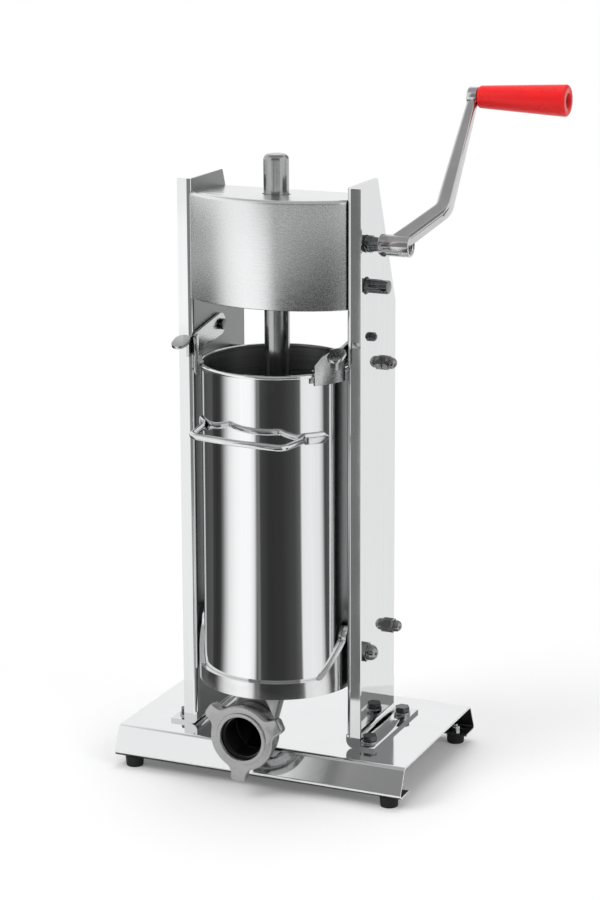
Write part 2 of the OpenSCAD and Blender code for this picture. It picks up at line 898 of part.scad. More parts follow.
// Lower shaft with the pinion that drives the large gear
module lower_shaft() color(dark_steel)
    translate([0, shaft_y, low_z])
        stepped_shaft(plate_x + low_step, plate_x + low_shaft_free);

module lower_shaft_rings() color(dark_steel)
    inner_rings(low_z);

module lower_pinion() color(satin)
    on_shaft(low_z, gear_x - (low_pinion_w - gear_w) / 2, gear_x + (low_pinion_w + gear_w) / 2)
        rotate([0, 0, 180 + 180 / low_pinion_teeth])
            polygon(gear_outline(gear_module, low_pinion_teeth));

// Crank: a hub, an arm that bends outwards and an eye for the grip's pin
module at_crank(r) {
    translate([0, shaft_y, high_z])
        rotate([-crank_lean_angle, 0, 0])
            translate([0, 0, r])
                children();
}

module arm_block(x, r, w, d) {
    at_crank(r)
        translate([x, 0, 0])
            rotate([90, 0, 0])
                translate([0, 0, -d / 2])
                    cylinder(h = d, d = w, $fn = 32);
}

module crank_arm() color(steel)
    difference() {
        union() {
            translate([0, shaft_y, high_z])
                rod_x(hub_x, hub_x + hub_l, hub_d / 2);
            hull() {
                arm_block(arm_x, 0, arm_w_root, arm_d_root);
                arm_block(arm_tip_x, crank_elbow_r, arm_w_elbow, arm_d_elbow);
            }
            hull() {
                arm_block(arm_tip_x, crank_elbow_r, arm_w_elbow, arm_d_elbow);
                arm_block(arm_tip_x, crank_r - eye_d / 2, arm_w_tip, arm_d_tip);
            }
            at_crank(crank_r)
                rod_x(arm_tip_x - arm_w_tip / 2, arm_tip_x + arm_w_tip / 2, eye_d / 2);
        }
        translate([0, shaft_y, high_z])
            rod_x(hub_x - over, hub_x + hub_l + over, seat_r + press_gap);
        at_crank(crank_r)
            rod_x(arm_tip_x - arm_w_tip, arm_tip_x + arm_w_tip, pin_d / 2 + press_gap);
        at_crank(0)
            translate([hub_x + hub_l / 4, 0, -hub_d / 2 - over])
                cylinder(h = hub_d / 2 + over, d = crank_screw_d + 2 * press_gap);
    }

module crank_screw() color(dark_steel)
    at_crank(0)
        translate([hub_x + hub_l / 4, 0, -hub_d / 2 - crank_screw_h / 4])
            cylinder(h = hub_d / 2 + crank_screw_h / 4 - seat_r - press_gap, d = crank_screw_d);

grip_x = arm_tip_x + arm_w_tip / 2 + grip_gap;

module grip_pin() color(dark_steel)
    at_crank(crank_r) {
        rod_x(arm_tip_x - arm_w_tip / 2 - pin_past, grip_x + grip_l - grip_recess + pin_head_t, pin_d / 2);
        rod_x(grip_x + grip_l - grip_recess + face_gap, grip_x + grip_l - grip_recess + pin_head_t,
            pin_head_d / 2);
    }

module crank_grip() color(red)
    at_crank(crank_r)
        translate([grip_x, 0, 0])
            rotate([0, 90, 0])
                rotate_extrude()
                    difference() {
                        polygon(concat(
                            [[0, 0]],
                            corner_arc([0, 0], [grip_d_in / 2, 0], [grip_d_out / 2, grip_l], grip_round, 6),
                            corner_arc([grip_d_in / 2, 0], [grip_d_out / 2, grip_l], [0, grip_l], grip_round, 6),
                            [[0, grip_l]]
                        ));
                        translate([0, -over])
                            square([pin_d / 2 + running_clear, grip_l + 2 * over]);
                        translate([0, grip_l - grip_recess])
                            square([grip_recess_d / 2, grip_recess + over]);
                    }

// Rack rod, piston, seal, bolt and air valve
rack_low = high_z - rack_travel_up - rack_margin;
rack_pitch = PI * rack_module;
rack_line_y = shaft_y - rack_module * rack_pinion_teeth / 2;
rack_top = high_z + piston_rest + rack_margin;
rack_teeth_up = floor((rack_top - high_z) / rack_pitch);
rack_teeth_down = floor((high_z - rack_low) / rack_pitch);

// Outline in YZ of what is cut from the rod's rear between the rack's teeth
function rack_gap(z) =
    let (
        tip_y = rack_line_y + rack_module * addendum_share,
        root_y = rack_line_y - rack_module * dedendum_share,
        half = rack_pitch / 4 + tooth_clear / 2,
        lean = tan(pressure_angle)
    )
    [
        [root_y, z - half + rack_module * dedendum_share * lean],
        [tip_y + over, z - half - (rack_module * addendum_share + over) * lean],
        [tip_y + over, z + half + (rack_module * addendum_share + over) * lean],
        [root_y, z + half - rack_module * dedendum_share * lean]
    ];

module rack_rod() color(steel)
    difference() {
        union() {
            translate([0, 0, rod_bottom])
                rotate_extrude()
                    polygon(concat(
                        [[0, 0], [rod_r, 0]],
                        corner_arc([rod_r, 0], [rod_r, rod_top - rod_bottom], [0, rod_top - rod_bottom], rod_round, 8),
                        [[0, rod_top - rod_bottom]]
                    ));
            translate([0, 0, piston_z + piston_bolt_h])
                cylinder(h = piston_h - piston_bolt_h + over, d = rod_spigot_d);
        }
        along_x(-rod_d, rod_d)
            union() {
                for (i = [-rack_teeth_down : rack_teeth_up - 1])
                    polygon(rack_gap(high_z + (i + 0.5) * rack_pitch));
                translate([rack_line_y + rack_module * addendum_share, high_z - rack_teeth_down * rack_pitch])
                    square([rod_r, (rack_teeth_up + rack_teeth_down) * rack_pitch]);
            }
        translate([0, 0, piston_z - over])
            cylinder(h = piston_bolt_h + piston_bolt_l + over, d = m8_d + 2 * press_gap);
    }

piston_bolt_h = 6;
piston_bolt_l = 20;
piston_bolt_recess_d = 18;

module piston_disc() color(satin)
    translate([0, 0, piston_z])
        difference() {
            rotate_extrude()
                polygon([
                    [0, 0], [piston_r, 0],
                    [piston_r, (piston_h - seal_h) / 2], [piston_r - seal_w, (piston_h - seal_h) / 2],
                    [piston_r - seal_w, (piston_h + seal_h) / 2], [piston_r, (piston_h + seal_h) / 2],
                    [piston_r, piston_h], [0, piston_h]
                ]);
            translate([0, 0, -over])
                cylinder(h = piston_bolt_h + over, d = piston_bolt_recess_d);
            translate([0, 0, -over])
                cylinder(h = piston_h + 2 * over, d = rod_spigot_d + 2 * press_gap);
            translate([0, valve_y, -over])
                cylinder(h = piston_h + 2 * over, d = valve_d + 2 * valve_clear);
        }

module piston_seal() color(white)
    translate([0, 0, piston_z + (piston_h - seal_h) / 2 + press_gap])
        difference() {
            cylinder(h = seal_h - 2 * press_gap, r = seal_r);
            translate([0, 0, -over])
                cylinder(h = seal_h + 2 * over, r = piston_r - seal_w + press_gap);
        }

module piston_bolt() color(dark_steel)
    translate([0, 0, piston_z]) {
        cylinder(h = piston_bolt_h, d = m8_af / cos(30), $fn = hex_fn);
        cylinder(h = piston_bolt_h + piston_bolt_l - over, d = m8_d);
    }

module air_valve() color(white)
    translate([0, valve_y, piston_z + piston_h]) {
        translate([0, 0, -piston_h])
            cylinder(h = piston_h + valve_past, d = valve_d);
        cylinder(h = valve_head_t, d = valve_head_d);
    }

// Meat cylinder with its rolled rim
module cylinder_wall() color(steel)
    difference() {
        translate([0, 0, floor_z])
            rotate_extrude() {
                square([cyl_r, cyl_floor_t]);
                translate([cyl_ir, 0])
                    square([cyl_wall, cyl_h - rim_bead_d / 2]);
                translate([cyl_r - cyl_wall / 2 + rim_bead_d / 2, cyl_h - rim_bead_d / 2])
                    circle(d = rim_bead_d, $fn = fine_fn);
                translate([cyl_ir, cyl_h - rim_bead_d / 2])
                    intersection() {
                        translate([rim_bead_d / 2, 0])
                            circle(d = rim_bead_d, $fn = fine_fn);
                        square(rim_bead_d);
                    }
            }
        pipe_bore();
    }

// Wire handle: a bow in front of the cylinder whose flattened ends are welded to the wall
tab_span = 19;
tab_h = 11;
tab_t = 3;
handle_z = rim_z - handle_drop;
handle_tilt_angle = 2;
handle_bend_r = 9;
handle_bow = 4;
handle_bow_share = 5;
tab_r = cyl_r + weld_gap + tab_t / 2;
tab_tip_share = 0.45;
tab_steps = 5;
tab_run = 4;
tab_end_angle = tab_angle - tab_span / 2;
handle_front_y = -cyl_r - handle_reach;

function from_front(r, angle) = [r * sin(angle), -r * cos(angle)];

tab_end = from_front(tab_r, -tab_end_angle);
handle_corner = [-handle_half_w, handle_front_y];
tab_way = unit(handle_corner - tab_end);
handle_half = concat(
    [for (k = [0 : tab_steps])
        [from_front(tab_r, -tab_end_angle - tab_span + tab_span * k / tab_steps),
            tab_t / 2, k == 0 ? tab_h * tab_tip_share / 2 : tab_h / 2]],
    [
        [tab_end + tab_way * tab_run, (tab_t + wire_d) / 4, (tab_h + wire_d) / 4],
        [tab_end + tab_way * 2 * tab_run, wire_d / 2, wire_d / 2]
    ],
    round_stations(corner_arc(
        tab_end,
        handle_corner,
        [0, handle_front_y - handle_bow],
        handle_bend_r, 6), wire_d / 2)
);
handle_middle = round_stations(corner_arc(
    handle_corner,
    [0, handle_front_y - handle_bow],
    [handle_half_w, handle_front_y],
    handle_half_w * handle_bow_share, 6), wire_d / 2);

module cylinder_handle() color(steel)
    translate([0, 0, handle_z])
        rotate([0, handle_tilt_angle, 0])
            bent_wire(concat(handle_half, handle_middle, mirrored(handle_half)));

// Outlet: a threaded collar and a sloping pipe up to the cylinder's floor
outlet_z = floor_z - outlet_drop;
outlet_y = -outlet_reach;
collar_l = 24;
pipe_start = 18;
pipe_wall = 3.5;
pipe_step = 1;
pipe_overlap = 3;
pipe_r = outlet_bore / 2 - pipe_step + pipe_wall;

module along_pipe() {
    translate([0, outlet_y + pipe_start, outlet_z])
        rotate([pipe_angle - 90, 0, 0])
            children();
}

module pipe_bore() {
    intersection() {
        along_pipe()
            translate([0, 0, -pipe_r])
                cylinder(h = outlet_drop / sin(pipe_angle) + 2 * pipe_r + cyl_floor_t, r = pipe_r - pipe_wall);
        translate([-outlet_d, outlet_y + collar_l, outlet_z - outlet_d])
            cube([2 * outlet_d, 2 * outlet_reach, outlet_drop + 2 * outlet_d]);
    }
}

module outlet_spout() color(satin)
    difference() {
        union() {
            translate([0, outlet_y + collar_l, outlet_z])
                rotate([90, 0, 0])
                    cylinder(h = collar_l, d = outlet_d);
            intersection() {
                along_pipe()
                    translate([0, 0, -pipe_r])
                        cylinder(h = outlet_drop / sin(pipe_angle) + 3 * pipe_r, r = pipe_r);
                translate([-outlet_d, outlet_y + collar_l - pipe_overlap, outlet_z - outlet_d / 2])
                    cube([2 * outlet_d, 2 * outlet_reach, outlet_d / 2 + outlet_drop]);
            }
        }
        translate([0, outlet_y + collar_l + over, outlet_z])
            rotate([90, 0, 0])
                cylinder(h = collar_l + 2 * over, d = outlet_bore);
        pipe_bore();
    }

seal_t = 2;
seal_step = 1;
seal_gap = 0.1;

module spout_seal() color(black)
    translate([0, outlet_y, outlet_z])
        rotate([90, 0, 0])
            difference() {
                cylinder(h = seal_t, d = outlet_d - seal_step);
                translate([0, 0, -over])
                    cylinder(h = seal_t + 2 * over, d = outlet_bore + seal_step);
            }

// Ring nut with three lobes, screwed over the outlet
nut_face_t = 4.6;
nut_l = 26.6;
nut_wall = 4.2;
lobe_t = 10.6;
lobe_w = 15;
lobe_angle = 24;
lobe_count = 3;
nut_r = outlet_d / 2 + nut_wall;
lobe_round = 4;
body_grow = 3.3;
body_r = nut_r + body_grow;
lobe_blend_angle = 27;
body_steps = 10;
blend_steps = 5;

// Curve from start to end, drawn towards pull
function drawn_curve(start, pull, end, steps) =
    [for (k = [1 : steps - 1])
        let (t = k / steps)
        start * (1 - t) * (1 - t) + pull * 2 * t * (1 - t) + end * t * t];

// Outline of a round body with three lobes that rise from it in hollow curves
function lobe_outline() =
    let (step = 360 / lobe_count, foot = sqrt(body_r * body_r - lobe_w * lobe_w / 4))
    [for (i = [0 : lobe_count - 1])
        let (mid = lobe_angle + i * step)
        each concat(
            corner_arc(
                turned([0, -lobe_w / 2], mid),
                turned([lobe_r, -lobe_w / 2], mid),
                turned([lobe_r, lobe_w / 2], mid),
                lobe_round, 6),
            corner_arc(
                turned([lobe_r, -lobe_w / 2], mid),
                turned([lobe_r, lobe_w / 2], mid),
                turned([0, lobe_w / 2], mid),
                lobe_round, 6),
            drawn_curve(
                turned([lobe_r - lobe_round, lobe_w / 2], mid),
                turned([foot, lobe_w / 2], mid),
                on_circle(body_r, mid + lobe_blend_angle), blend_steps),
            [for (k = [0 : body_steps])
                on_circle(body_r, mid + lobe_blend_angle + (step - 2 * lobe_blend_angle) * k / body_steps)],
            drawn_curve(
                on_circle(body_r, mid + step - lobe_blend_angle),
                turned([foot, -lobe_w / 2], mid + step),
                turned([lobe_r - lobe_round, -lobe_w / 2], mid + step), blend_steps)
        )];

module ring_nut() color(satin)
    translate([0, outlet_y - seal_t - seal_gap - nut_face_t, outlet_z])
        rotate([-90, 0, 0])
            difference() {
                union() {
                    linear_extrude(lobe_t)
                        mirror([0, 1])
                            polygon(lobe_outline());
                    cylinder(h = nut_l, r = nut_r);
                }
                translate([0, 0, -over])
                    cylinder(h = nut_l + 2 * over, d = nut_bore);
                translate([0, 0, nut_face_t])
                    cylinder(h = nut_l, r = outlet_d / 2 + thread_clear);
            }

// Cradle that carries the cylinder's foot, with an ear and a pivot at each side
module cradle() color(satin)
    difference() {
        union() {
            translate([0, 0, floor_z - cradle_lip_t])
                difference() {
                    cylinder(h = cradle_h, r = cradle_r);
                    translate([0, 0, cradle_lip_t])
                        cylinder(h = cradle_h, r = cradle_ir);
                    translate([0, 0, -over])
                        cylinder(h = cradle_h, r = cyl_r - cradle_lip_w);
                }
            intersection() {
                translate([0, 0, floor_z])
                    difference() {
                        cylinder(h = cradle_pivot_rise + ear_r + ear_rise + over, r = cradle_r);
                        translate([0, 0, -over])
                            cylinder(h = cradle_pivot_rise + ear_r + ear_rise + 3 * over, r = cradle_ir);
                    }
                along_x(-cradle_r - over, cradle_r + over)
                    union() {
                        translate([cradle_pivot_y - ear_shift, pivot_z + ear_rise])
                            circle(r = ear_r);
                        polygon([
                            [-cyl_r * ear_front_share, floor_z + cradle_h - cradle_lip_t - over],
                            [cradle_pivot_y - ear_shift - ear_r, pivot_z + ear_rise],
                            [cradle_pivot_y - ear_shift + ear_r, pivot_z + ear_rise],
                            [cyl_r * ear_rear_share, floor_z + cradle_h - cradle_lip_t - over]
                        ]);
                    }
            }
            both_sides()
                translate([0, cradle_pivot_y, pivot_z])
                    rod_x(cradle_ir + boss_gap, gap_half - face_gap, m10_d);
        }
        both_sides()
            translate([0, cradle_pivot_y, pivot_z])
                rod_x(cyl_r, gap_half, m10_d / 2 + press_gap);
    }

m10_thread_l = 12;

module cradle_pivots() color(dark_steel)
    both_sides()
        translate([0, cradle_pivot_y, pivot_z])
            rod_x(cradle_ir + boss_gap, plate_x + m10_thread_l, m10_d / 2);

module cradle_pivot_nuts() color(satin)
    both_sides()
        translate([0, cradle_pivot_y, pivot_z])
            acorn_nut(plate_x, m10_af, m10_nut, m10_d, m10_thread_l);

// Retaining levers: an arm on the upright, a lip and a tongue over the rim, and a thumb pad
lever_front_y = -37;
lever_top_fall = 1;
lever_low_fall = 19;
lever_knee_y = -13;
lever_knee_fall = 17;
lip_slope_angle = 26;
thumb_shift = 3;
thumb_y = -45;
thumb_fall = 3;
thumb_angle = 20;

module lever() {
    difference() {
        union() {
            along_x(lever_x, lever_x + lever_t)
                union() {
                    translate([lever_pivot_y, lever_z])
                        circle(r = lever_eye_r);
                    polygon([
                        [lever_pivot_y, lever_z + lever_eye_r],
                        [lever_front_y, lever_z - lever_top_fall],
                        [lever_front_y, lever_z - lever_low_fall],
                        [lever_knee_y, lever_z - lever_knee_fall],
                        [lever_pivot_y, lever_z - lever_eye_r]
                    ]);
                }
            intersection() {
                translate([0, 0, rim_z - lip_below])
                    rotate([0, 0, -lip_to_angle])
                        rotate_extrude(angle = lip_to_angle - lip_from_angle)
                            translate([lip_r, 0])
                                square([lever_t, lip_below + lever_rise]);
                along_x(0, plate_x)
                    polygon([
                        [-cyl_r, rim_z - lip_below - over],
                        [0, rim_z - lip_below - over],
                        [0, rim_z + lip_above + cyl_r * tan(lip_slope_angle)],
                        [-cyl_r, rim_z + lip_above]
                    ]);
            }
            translate([0, 0, rim_z + lever_clear])
                rotate([0, 0, -lip_to_angle])
                    rotate_extrude(angle = lip_to_angle - lip_from_angle)
                        translate([tongue_r, 0])
                            square([lip_r + lever_t / 2 - tongue_r, tongue_t]);
            translate([lever_x + lever_t / 2 + thumb_shift, thumb_y, lever_z - thumb_fall])
                rotate([thumb_angle, 0, 0])
                    translate([0, 0, -lever_t / 2])
                        linear_extrude(lever_t)
                            union() {
                                for (side = [-1, 1])
                                    translate([0, side * (thumb_l - thumb_w) / 2])
                                        circle(d = thumb_w, $fn = fine_fn);
                                square([thumb_w, thumb_l - thumb_w], center = true);
                            }
        }
        translate([0, lever_pivot_y, lever_z])
            rod_x(lever_x - over, lever_x + lever_t + over, lever_screw_d / 2 + running_clear);
    }
}

module left_lever() color(satin)
    mirror([1, 0, 0])
        lever();

module right_lever() color(satin)
    lever();

module lever_screws() color(dark_steel)
    both_sides()
        translate([0, lever_pivot_y, lever_z]) {
            rod_x(lever_x - face_gap - lever_head_t, lever_x - face_gap, lever_head_d / 2);
            rod_x(lever_x - face_gap - over, plate_x + lever_nut_t + pin_past, lever_screw_d / 2);
        }

lever_nut_t = 4;
lever_nut_af = 8;

module lever_nuts() color(dark_steel)
    both_sides()
        translate([0, lever_pivot_y, lever_z])
            difference() {
                hex_x(plate_x, plate_x + lever_nut_t, lever_nut_af);
                rod_x(plate_x - over, plate_x + lever_nut_t + over, lever_screw_d / 2 + press_gap);
            }

base_plate();
rubber_feet();
foot_screws();
foot_nuts();
left_upright();
right_upright();
upright_bolts();
upright_washers();
upright_nuts();
rear_stop_bar();
lower_tie_bar();
acorn_nuts();
gear_housing();
rear_cover();
housing_floor();
guide_bridge();
rod_bushes();
shaft_bushes();
upper_shaft();
upper_shaft_rings();
drive_gear();
rack_pinion();
crank_arm();
crank_screw();
grip_pin();
crank_grip();
lower_shaft();
lower_shaft_rings();
lower_pinion();
rack_rod();
piston_disc();
piston_seal();
piston_bolt();
air_valve();
cylinder_wall();  // cylinder
cylinder_handle();
outlet_spout();
spout_seal();
ring_nut();
cradle();
cradle_pivots();
cradle_pivot_nuts();
left_lever();
right_lever();
lever_screws();
lever_nuts();
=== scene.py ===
"""Vertical sausage stuffer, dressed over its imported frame."""
import json
import math

import bmesh
import bpy
from bpy.props import FloatProperty, FloatVectorProperty, PointerProperty
from mathutils import Matrix, Vector

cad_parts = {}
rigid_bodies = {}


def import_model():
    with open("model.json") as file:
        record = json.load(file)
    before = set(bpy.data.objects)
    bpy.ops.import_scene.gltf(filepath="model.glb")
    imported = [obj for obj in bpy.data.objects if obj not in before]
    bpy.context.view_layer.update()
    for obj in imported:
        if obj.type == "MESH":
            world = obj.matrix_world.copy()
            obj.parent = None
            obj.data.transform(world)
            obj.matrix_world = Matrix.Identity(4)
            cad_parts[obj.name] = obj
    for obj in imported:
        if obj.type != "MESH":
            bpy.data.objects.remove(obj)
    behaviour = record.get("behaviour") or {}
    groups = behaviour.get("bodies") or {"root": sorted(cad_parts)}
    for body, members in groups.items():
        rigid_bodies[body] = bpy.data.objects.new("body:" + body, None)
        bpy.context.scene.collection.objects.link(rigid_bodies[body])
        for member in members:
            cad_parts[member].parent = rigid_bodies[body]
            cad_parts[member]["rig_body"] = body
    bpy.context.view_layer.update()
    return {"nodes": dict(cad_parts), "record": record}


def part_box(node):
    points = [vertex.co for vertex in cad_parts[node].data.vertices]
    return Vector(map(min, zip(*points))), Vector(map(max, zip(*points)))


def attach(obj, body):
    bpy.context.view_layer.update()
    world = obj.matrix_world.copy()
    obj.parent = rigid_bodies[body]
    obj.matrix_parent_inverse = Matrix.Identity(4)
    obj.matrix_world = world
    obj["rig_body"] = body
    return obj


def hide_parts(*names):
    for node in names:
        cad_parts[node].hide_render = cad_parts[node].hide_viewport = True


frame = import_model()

bl_info = {
    "name": "Vertical Sausage Stuffer",
    "version": (1, 0, 0),
    "blender": (4, 5, 0),
    "location": "3D View > Sidebar > Stuffer",
    "description": "Dresses a hand-cranked vertical sausage stuffer over its packed frame",
    "category": "Add Mesh",
}

# Shapes are drawn in millimetres and finished in metres
MM = 0.001
SLOTS = {part["node"]: part["material_slot"] for part in frame["record"]["subparts"]}
BODIES = {node: piece["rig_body"] for node, piece in frame["nodes"].items()}

# Reach of the merging of a CAD node's points, and of a lathed shape's where it meets itself
MERGE_REACH = 0.005
SEAM_REACH = 0.002

# Bend in degrees under which a CAD node's facets count as one face
JOIN_ANGLE = 0.4

# Least size of a large face, largest share of it that a soft neighbour has, and cosine of one plane
LARGE_FACE = 120.0
NEIGHBOUR_SHARE = 0.4
SAME_PLANE = 0.9999

# How far past an inner face its satin finish and painted shade reach, which is less than the sheet's
# thickness
INSIDE_MARGIN = 0.7

# Widths of the rounded cut edges, in metres
THIN_EDGE = 0.0002
FINE_EDGE = 0.0003
CAST_EDGE = 0.0004
WIDE_EDGE = 0.0006
RUBBER_EDGE = 0.0008
LEVER_EDGE = 0.0013


def box_mm(node):
    """Lowest and highest corner of a CAD node, in millimetres."""
    low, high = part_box(node)
    return low / MM, high / MM


def middle_mm(node):
    """Middle of a CAD node's box, in millimetres."""
    low, high = box_mm(node)
    return (low + high) / 2


# The crank's axis in the plane X = 0, the way from it to the grip's axis, and the outlet's height
SHAFT = Vector((0, *middle_mm("upper_shaft").yz))
CRANK = Vector((0, *middle_mm("crank_grip").yz)) - SHAFT
OUTLET_Z = middle_mm("spout_seal").z


# Finishes


def join(tree, socket, value):
    """Gives a socket a value, or links it to a pattern."""
    if isinstance(value, bpy.types.NodeSocket):
        tree.links.new(value, socket)
    else:
        socket.default_value = value


def add_node(tree, kind, inputs=(), **settings):
    """A shader node with its settings and inputs."""
    node = tree.nodes.new(kind)
    for setting, value in settings.items():
        setattr(node, setting, value)
    for socket, value in dict(inputs).items():
        join(tree, node.inputs[socket], value)
    return node


class Finish:
    """A material under construction: its shader, and the patterns that feed it."""

    def __init__(self, name, colour, roughness, metallic=0.0, **sockets):
        self.material = bpy.data.materials.new(name)
        self.material.use_nodes = True
        self.tree = self.material.node_tree
        self.shader = self.tree.nodes["Principled BSDF"]
        self.set("Base Color", (*colour, 1))
        self.set("Roughness", roughness)
        self.set("Metallic", metallic)
        for socket, value in sockets.items():
            self.set(socket.replace("_", " "), value)
        self.place = self.add("ShaderNodeTexCoord").outputs["Object"]

    def set(self, socket, value):
        """Gives a shader socket a value, or joins it to a pattern."""
        join(self.tree, self.shader.inputs[socket], value)

    def add(self, kind, inputs=(), **settings):
        """A shader node in this finish, with its settings and inputs."""
        return add_node(self.tree, kind, inputs, **settings)

    def along(self, axis):
        """The place along one axis, in metres."""
        return self.add("ShaderNodeSeparateXYZ", {0: self.place}).outputs[axis]

    def distance(self, keep, middle=(0.0, 0.0, 0.0)):
        """Distance from a middle, counted along the axes that keep marks with a 1."""
        away = self.add("ShaderNodeVectorMath", {0: self.place, 1: middle}, operation="SUBTRACT").outputs[0]
        across = self.add("ShaderNodeVectorMath", {0: away, 1: keep}, operation="MULTIPLY").outputs[0]
        return self.add("ShaderNodeVectorMath", {0: across}, operation="LENGTH").outputs["Value"]

    def noise(self, scale, detail=4.0, roughness=0.6, distortion=0.0):
        """Noise of so many waves a metre along each axis."""
        if isinstance(scale, (int, float)):
            scale = (scale, scale, scale)
        mapping = self.add("ShaderNodeMapping", {"Vector": self.place, "Scale": scale})
        return self.add("ShaderNodeTexNoise", {
            "Vector": mapping.outputs["Vector"], "Scale": 1.0, "Detail": detail,
            "Roughness": roughness, "Distortion": distortion,
        }).outputs["Fac"]

    def spread(self, pattern, low, high, start=0.3, end=0.7):
        """The pattern spread between a low and a high value."""
        return self.add("ShaderNodeMapRange", {
            "Value": pattern, "From Min": start, "From Max": end, "To Min": low, "To Max": high,
        }).outputs["Result"]

    def reckon(self, first, second, how="ADD"):
        """Two values added, or reckoned together in another way."""
        return self.add("ShaderNodeMath", {0: first, 1: second}, operation=how).outputs["Value"]

    def choose(self, share, first, second):
        """The first value where the share is 0, the second where it is 1."""
        return self.add("ShaderNodeMix", {0: share, 2: first, 3: second}, data_type="FLOAT").outputs[0]

    def blend(self, share, first, second):
        """The first colour where the share is 0, the second where it is 1."""
        return self.add("ShaderNodeMix", {0: share, 6: first, 7: second}, data_type="RGBA").outputs[2]

    def tint(self, pattern, first, second, start=0.3, end=0.7):
        """A colour between two, following the pattern."""
        return self.blend(self.spread(pattern, 0.0, 1.0, start, end), (*first, 1), (*second, 1))

    def part_inside(self, inside, roughness, colours):
        """Gives the outside and the inside of a piece their own roughness and colour; the inside's darker
        colour is painted shade.
        """
        self.set("Roughness", self.choose(inside, *roughness))
        self.set("Base Color", self.blend(inside, *colours))

    def relief(self, height, strength, depth):
        """Bumps the surface by a height pattern, depth in metres."""
        normal = self.add("ShaderNodeBump", {"Height": height, "Strength": strength, "Distance": depth})
        self.set("Normal", normal.outputs["Normal"])


def shade(colour, factor):
    """The colour made darker or lighter by a factor, at most white."""
    return tuple(min(1.0, channel * factor) for channel in colour)


def brushed_sheet(name, colour, along, rough=(0.24, 0.3), lines=0.03):
    """Rolled stainless sheet with fine brush lines along one axis, faint stains and handling marks."""
    finish = Finish(name, colour, rough[0], 1.0)
    hair = finish.noise([14.0 if axis == along else 700.0 for axis in "XYZ"], 3.0, 0.6)
    stains = finish.noise(9.0, 3.0, 0.5, 0.4)
    finish.set("Roughness", finish.reckon(finish.spread(hair, rough[0], rough[1], 0.36, 0.64),
                                          finish.spread(stains, -0.02, 0.02)))
    finish.set("Base Color", finish.tint(hair, shade(colour, 0.98), shade(colour, 1.01), 0.36, 0.64))
    finish.relief(hair, lines, 0.000004)
    return finish.material


def upright_sheet(name, colour):
    """Polished outside; the two faces that look at each other are satin and darkened as painted shade between
    the uprights.
    """
    finish = Finish(name, colour, 0.08, 1.0)
    inner_face = box_mm("right_upright")[0].x + INSIDE_MARGIN
    inside = finish.reckon(finish.distance((1.0, 0.0, 0.0)), inner_face * MM, "LESS_THAN")
    draw = finish.noise((300.0, 300.0, 3.0), 4.0, 0.6)
    satin = finish.noise((900.0, 5.0, 900.0), 4.0, 0.7)
    wipes = finish.noise(8.0, 6.0, 0.55, 0.8)
    waves = finish.noise((9.0, 9.0, 4.0), 1.0, 0.4)
    # The inner faces are rougher satin, and their colour is darkened to about a third of the sheet's as
    # painted shade between the uprights
    finish.part_inside(inside,
                       (finish.spread(wipes, 0.03, 0.08), finish.spread(satin, 0.3, 0.42)),
                       (finish.tint(draw, shade(colour, 0.97), colour),
                        finish.tint(satin, shade(colour, 0.28), shade(colour, 0.36))))
    finish.relief(finish.reckon(waves, finish.spread(draw, 0.0, 0.01)), 0.06, 0.0007)
    return finish.material


def cylinder_sheet(name, colour):
    """Mirror-polished tube whose inside, where the seal rubs, keeps the satin rings of its turning and is
    darkened as painted shade inside the tube.
    """
    finish = Finish(name, colour, 0.05, 1.0)
    inner_radius = box_mm("piston_seal")[1].x + INSIDE_MARGIN
    inside = finish.reckon(finish.distance((1.0, 1.0, 0.0)), inner_radius * MM, "LESS_THAN")
    buff = finish.noise((420.0, 420.0, 4.0), 4.0, 0.6)
    rings = finish.noise((6.0, 6.0, 700.0), 4.0, 0.7)
    wipes = finish.noise(9.0, 6.0, 0.55, 0.8)
    waves = finish.noise((9.0, 9.0, 3.0), 1.0, 0.4)
    # The inside is rougher with turning rings, and its colour is darkened to about half as painted shade
    # inside the tube
    finish.part_inside(inside,
                       (finish.spread(wipes, 0.035, 0.09), finish.spread(rings, 0.26, 0.42)),
                       (finish.tint(buff, shade(colour, 0.97), colour),
                        finish.tint(rings, shade(colour, 0.36), shade(colour, 0.55))))
    grooves = finish.choose(inside, 0.0, finish.spread(rings, 0.0, 0.2))
    finish.relief(finish.reckon(waves, grooves), 0.05, 0.0006)
    return finish.material


def base_sheet(name, colour):
    """Polished on top and on the outer flanges; where the sheet faces its own inside or faces down it is
    rougher and darkened almost to black, which is painted shade.
    """
    finish = Finish(name, colour, 0.06, 1.0)
    normal = finish.add("ShaderNodeTexCoord").outputs["Normal"]
    facing = finish.add("ShaderNodeSeparateXYZ", {0: normal}).outputs
    from_middle = finish.reckon(finish.along("Y"), middle_mm("base_plate").y * MM, "SUBTRACT")
    inward = finish.reckon(finish.reckon(facing["Y"], from_middle, "MULTIPLY"), -0.02, "LESS_THAN")
    downward = finish.reckon(facing["Z"], -0.3, "LESS_THAN")
    buff = finish.noise((4.0, 420.0, 420.0), 4.0, 0.6)
    wipes = finish.noise(9.0, 6.0, 0.55, 0.8)
    # Inward and downward faces are rougher, and their colour is darkened almost to black as painted shade
    # under and inside the folded sheet
    finish.part_inside(finish.reckon(inward, downward, "MAXIMUM"),
                       (finish.spread(wipes, 0.05, 0.1), finish.spread(buff, 0.35, 0.5)),
                       (finish.tint(wipes, shade(colour, 0.96), colour),
                        finish.tint(buff, shade(colour, 0.05), shade(colour, 0.09))))
    finish.relief(finish.reckon(buff, 0.2, "MULTIPLY"), 0.05, 0.0001)
    return finish.material


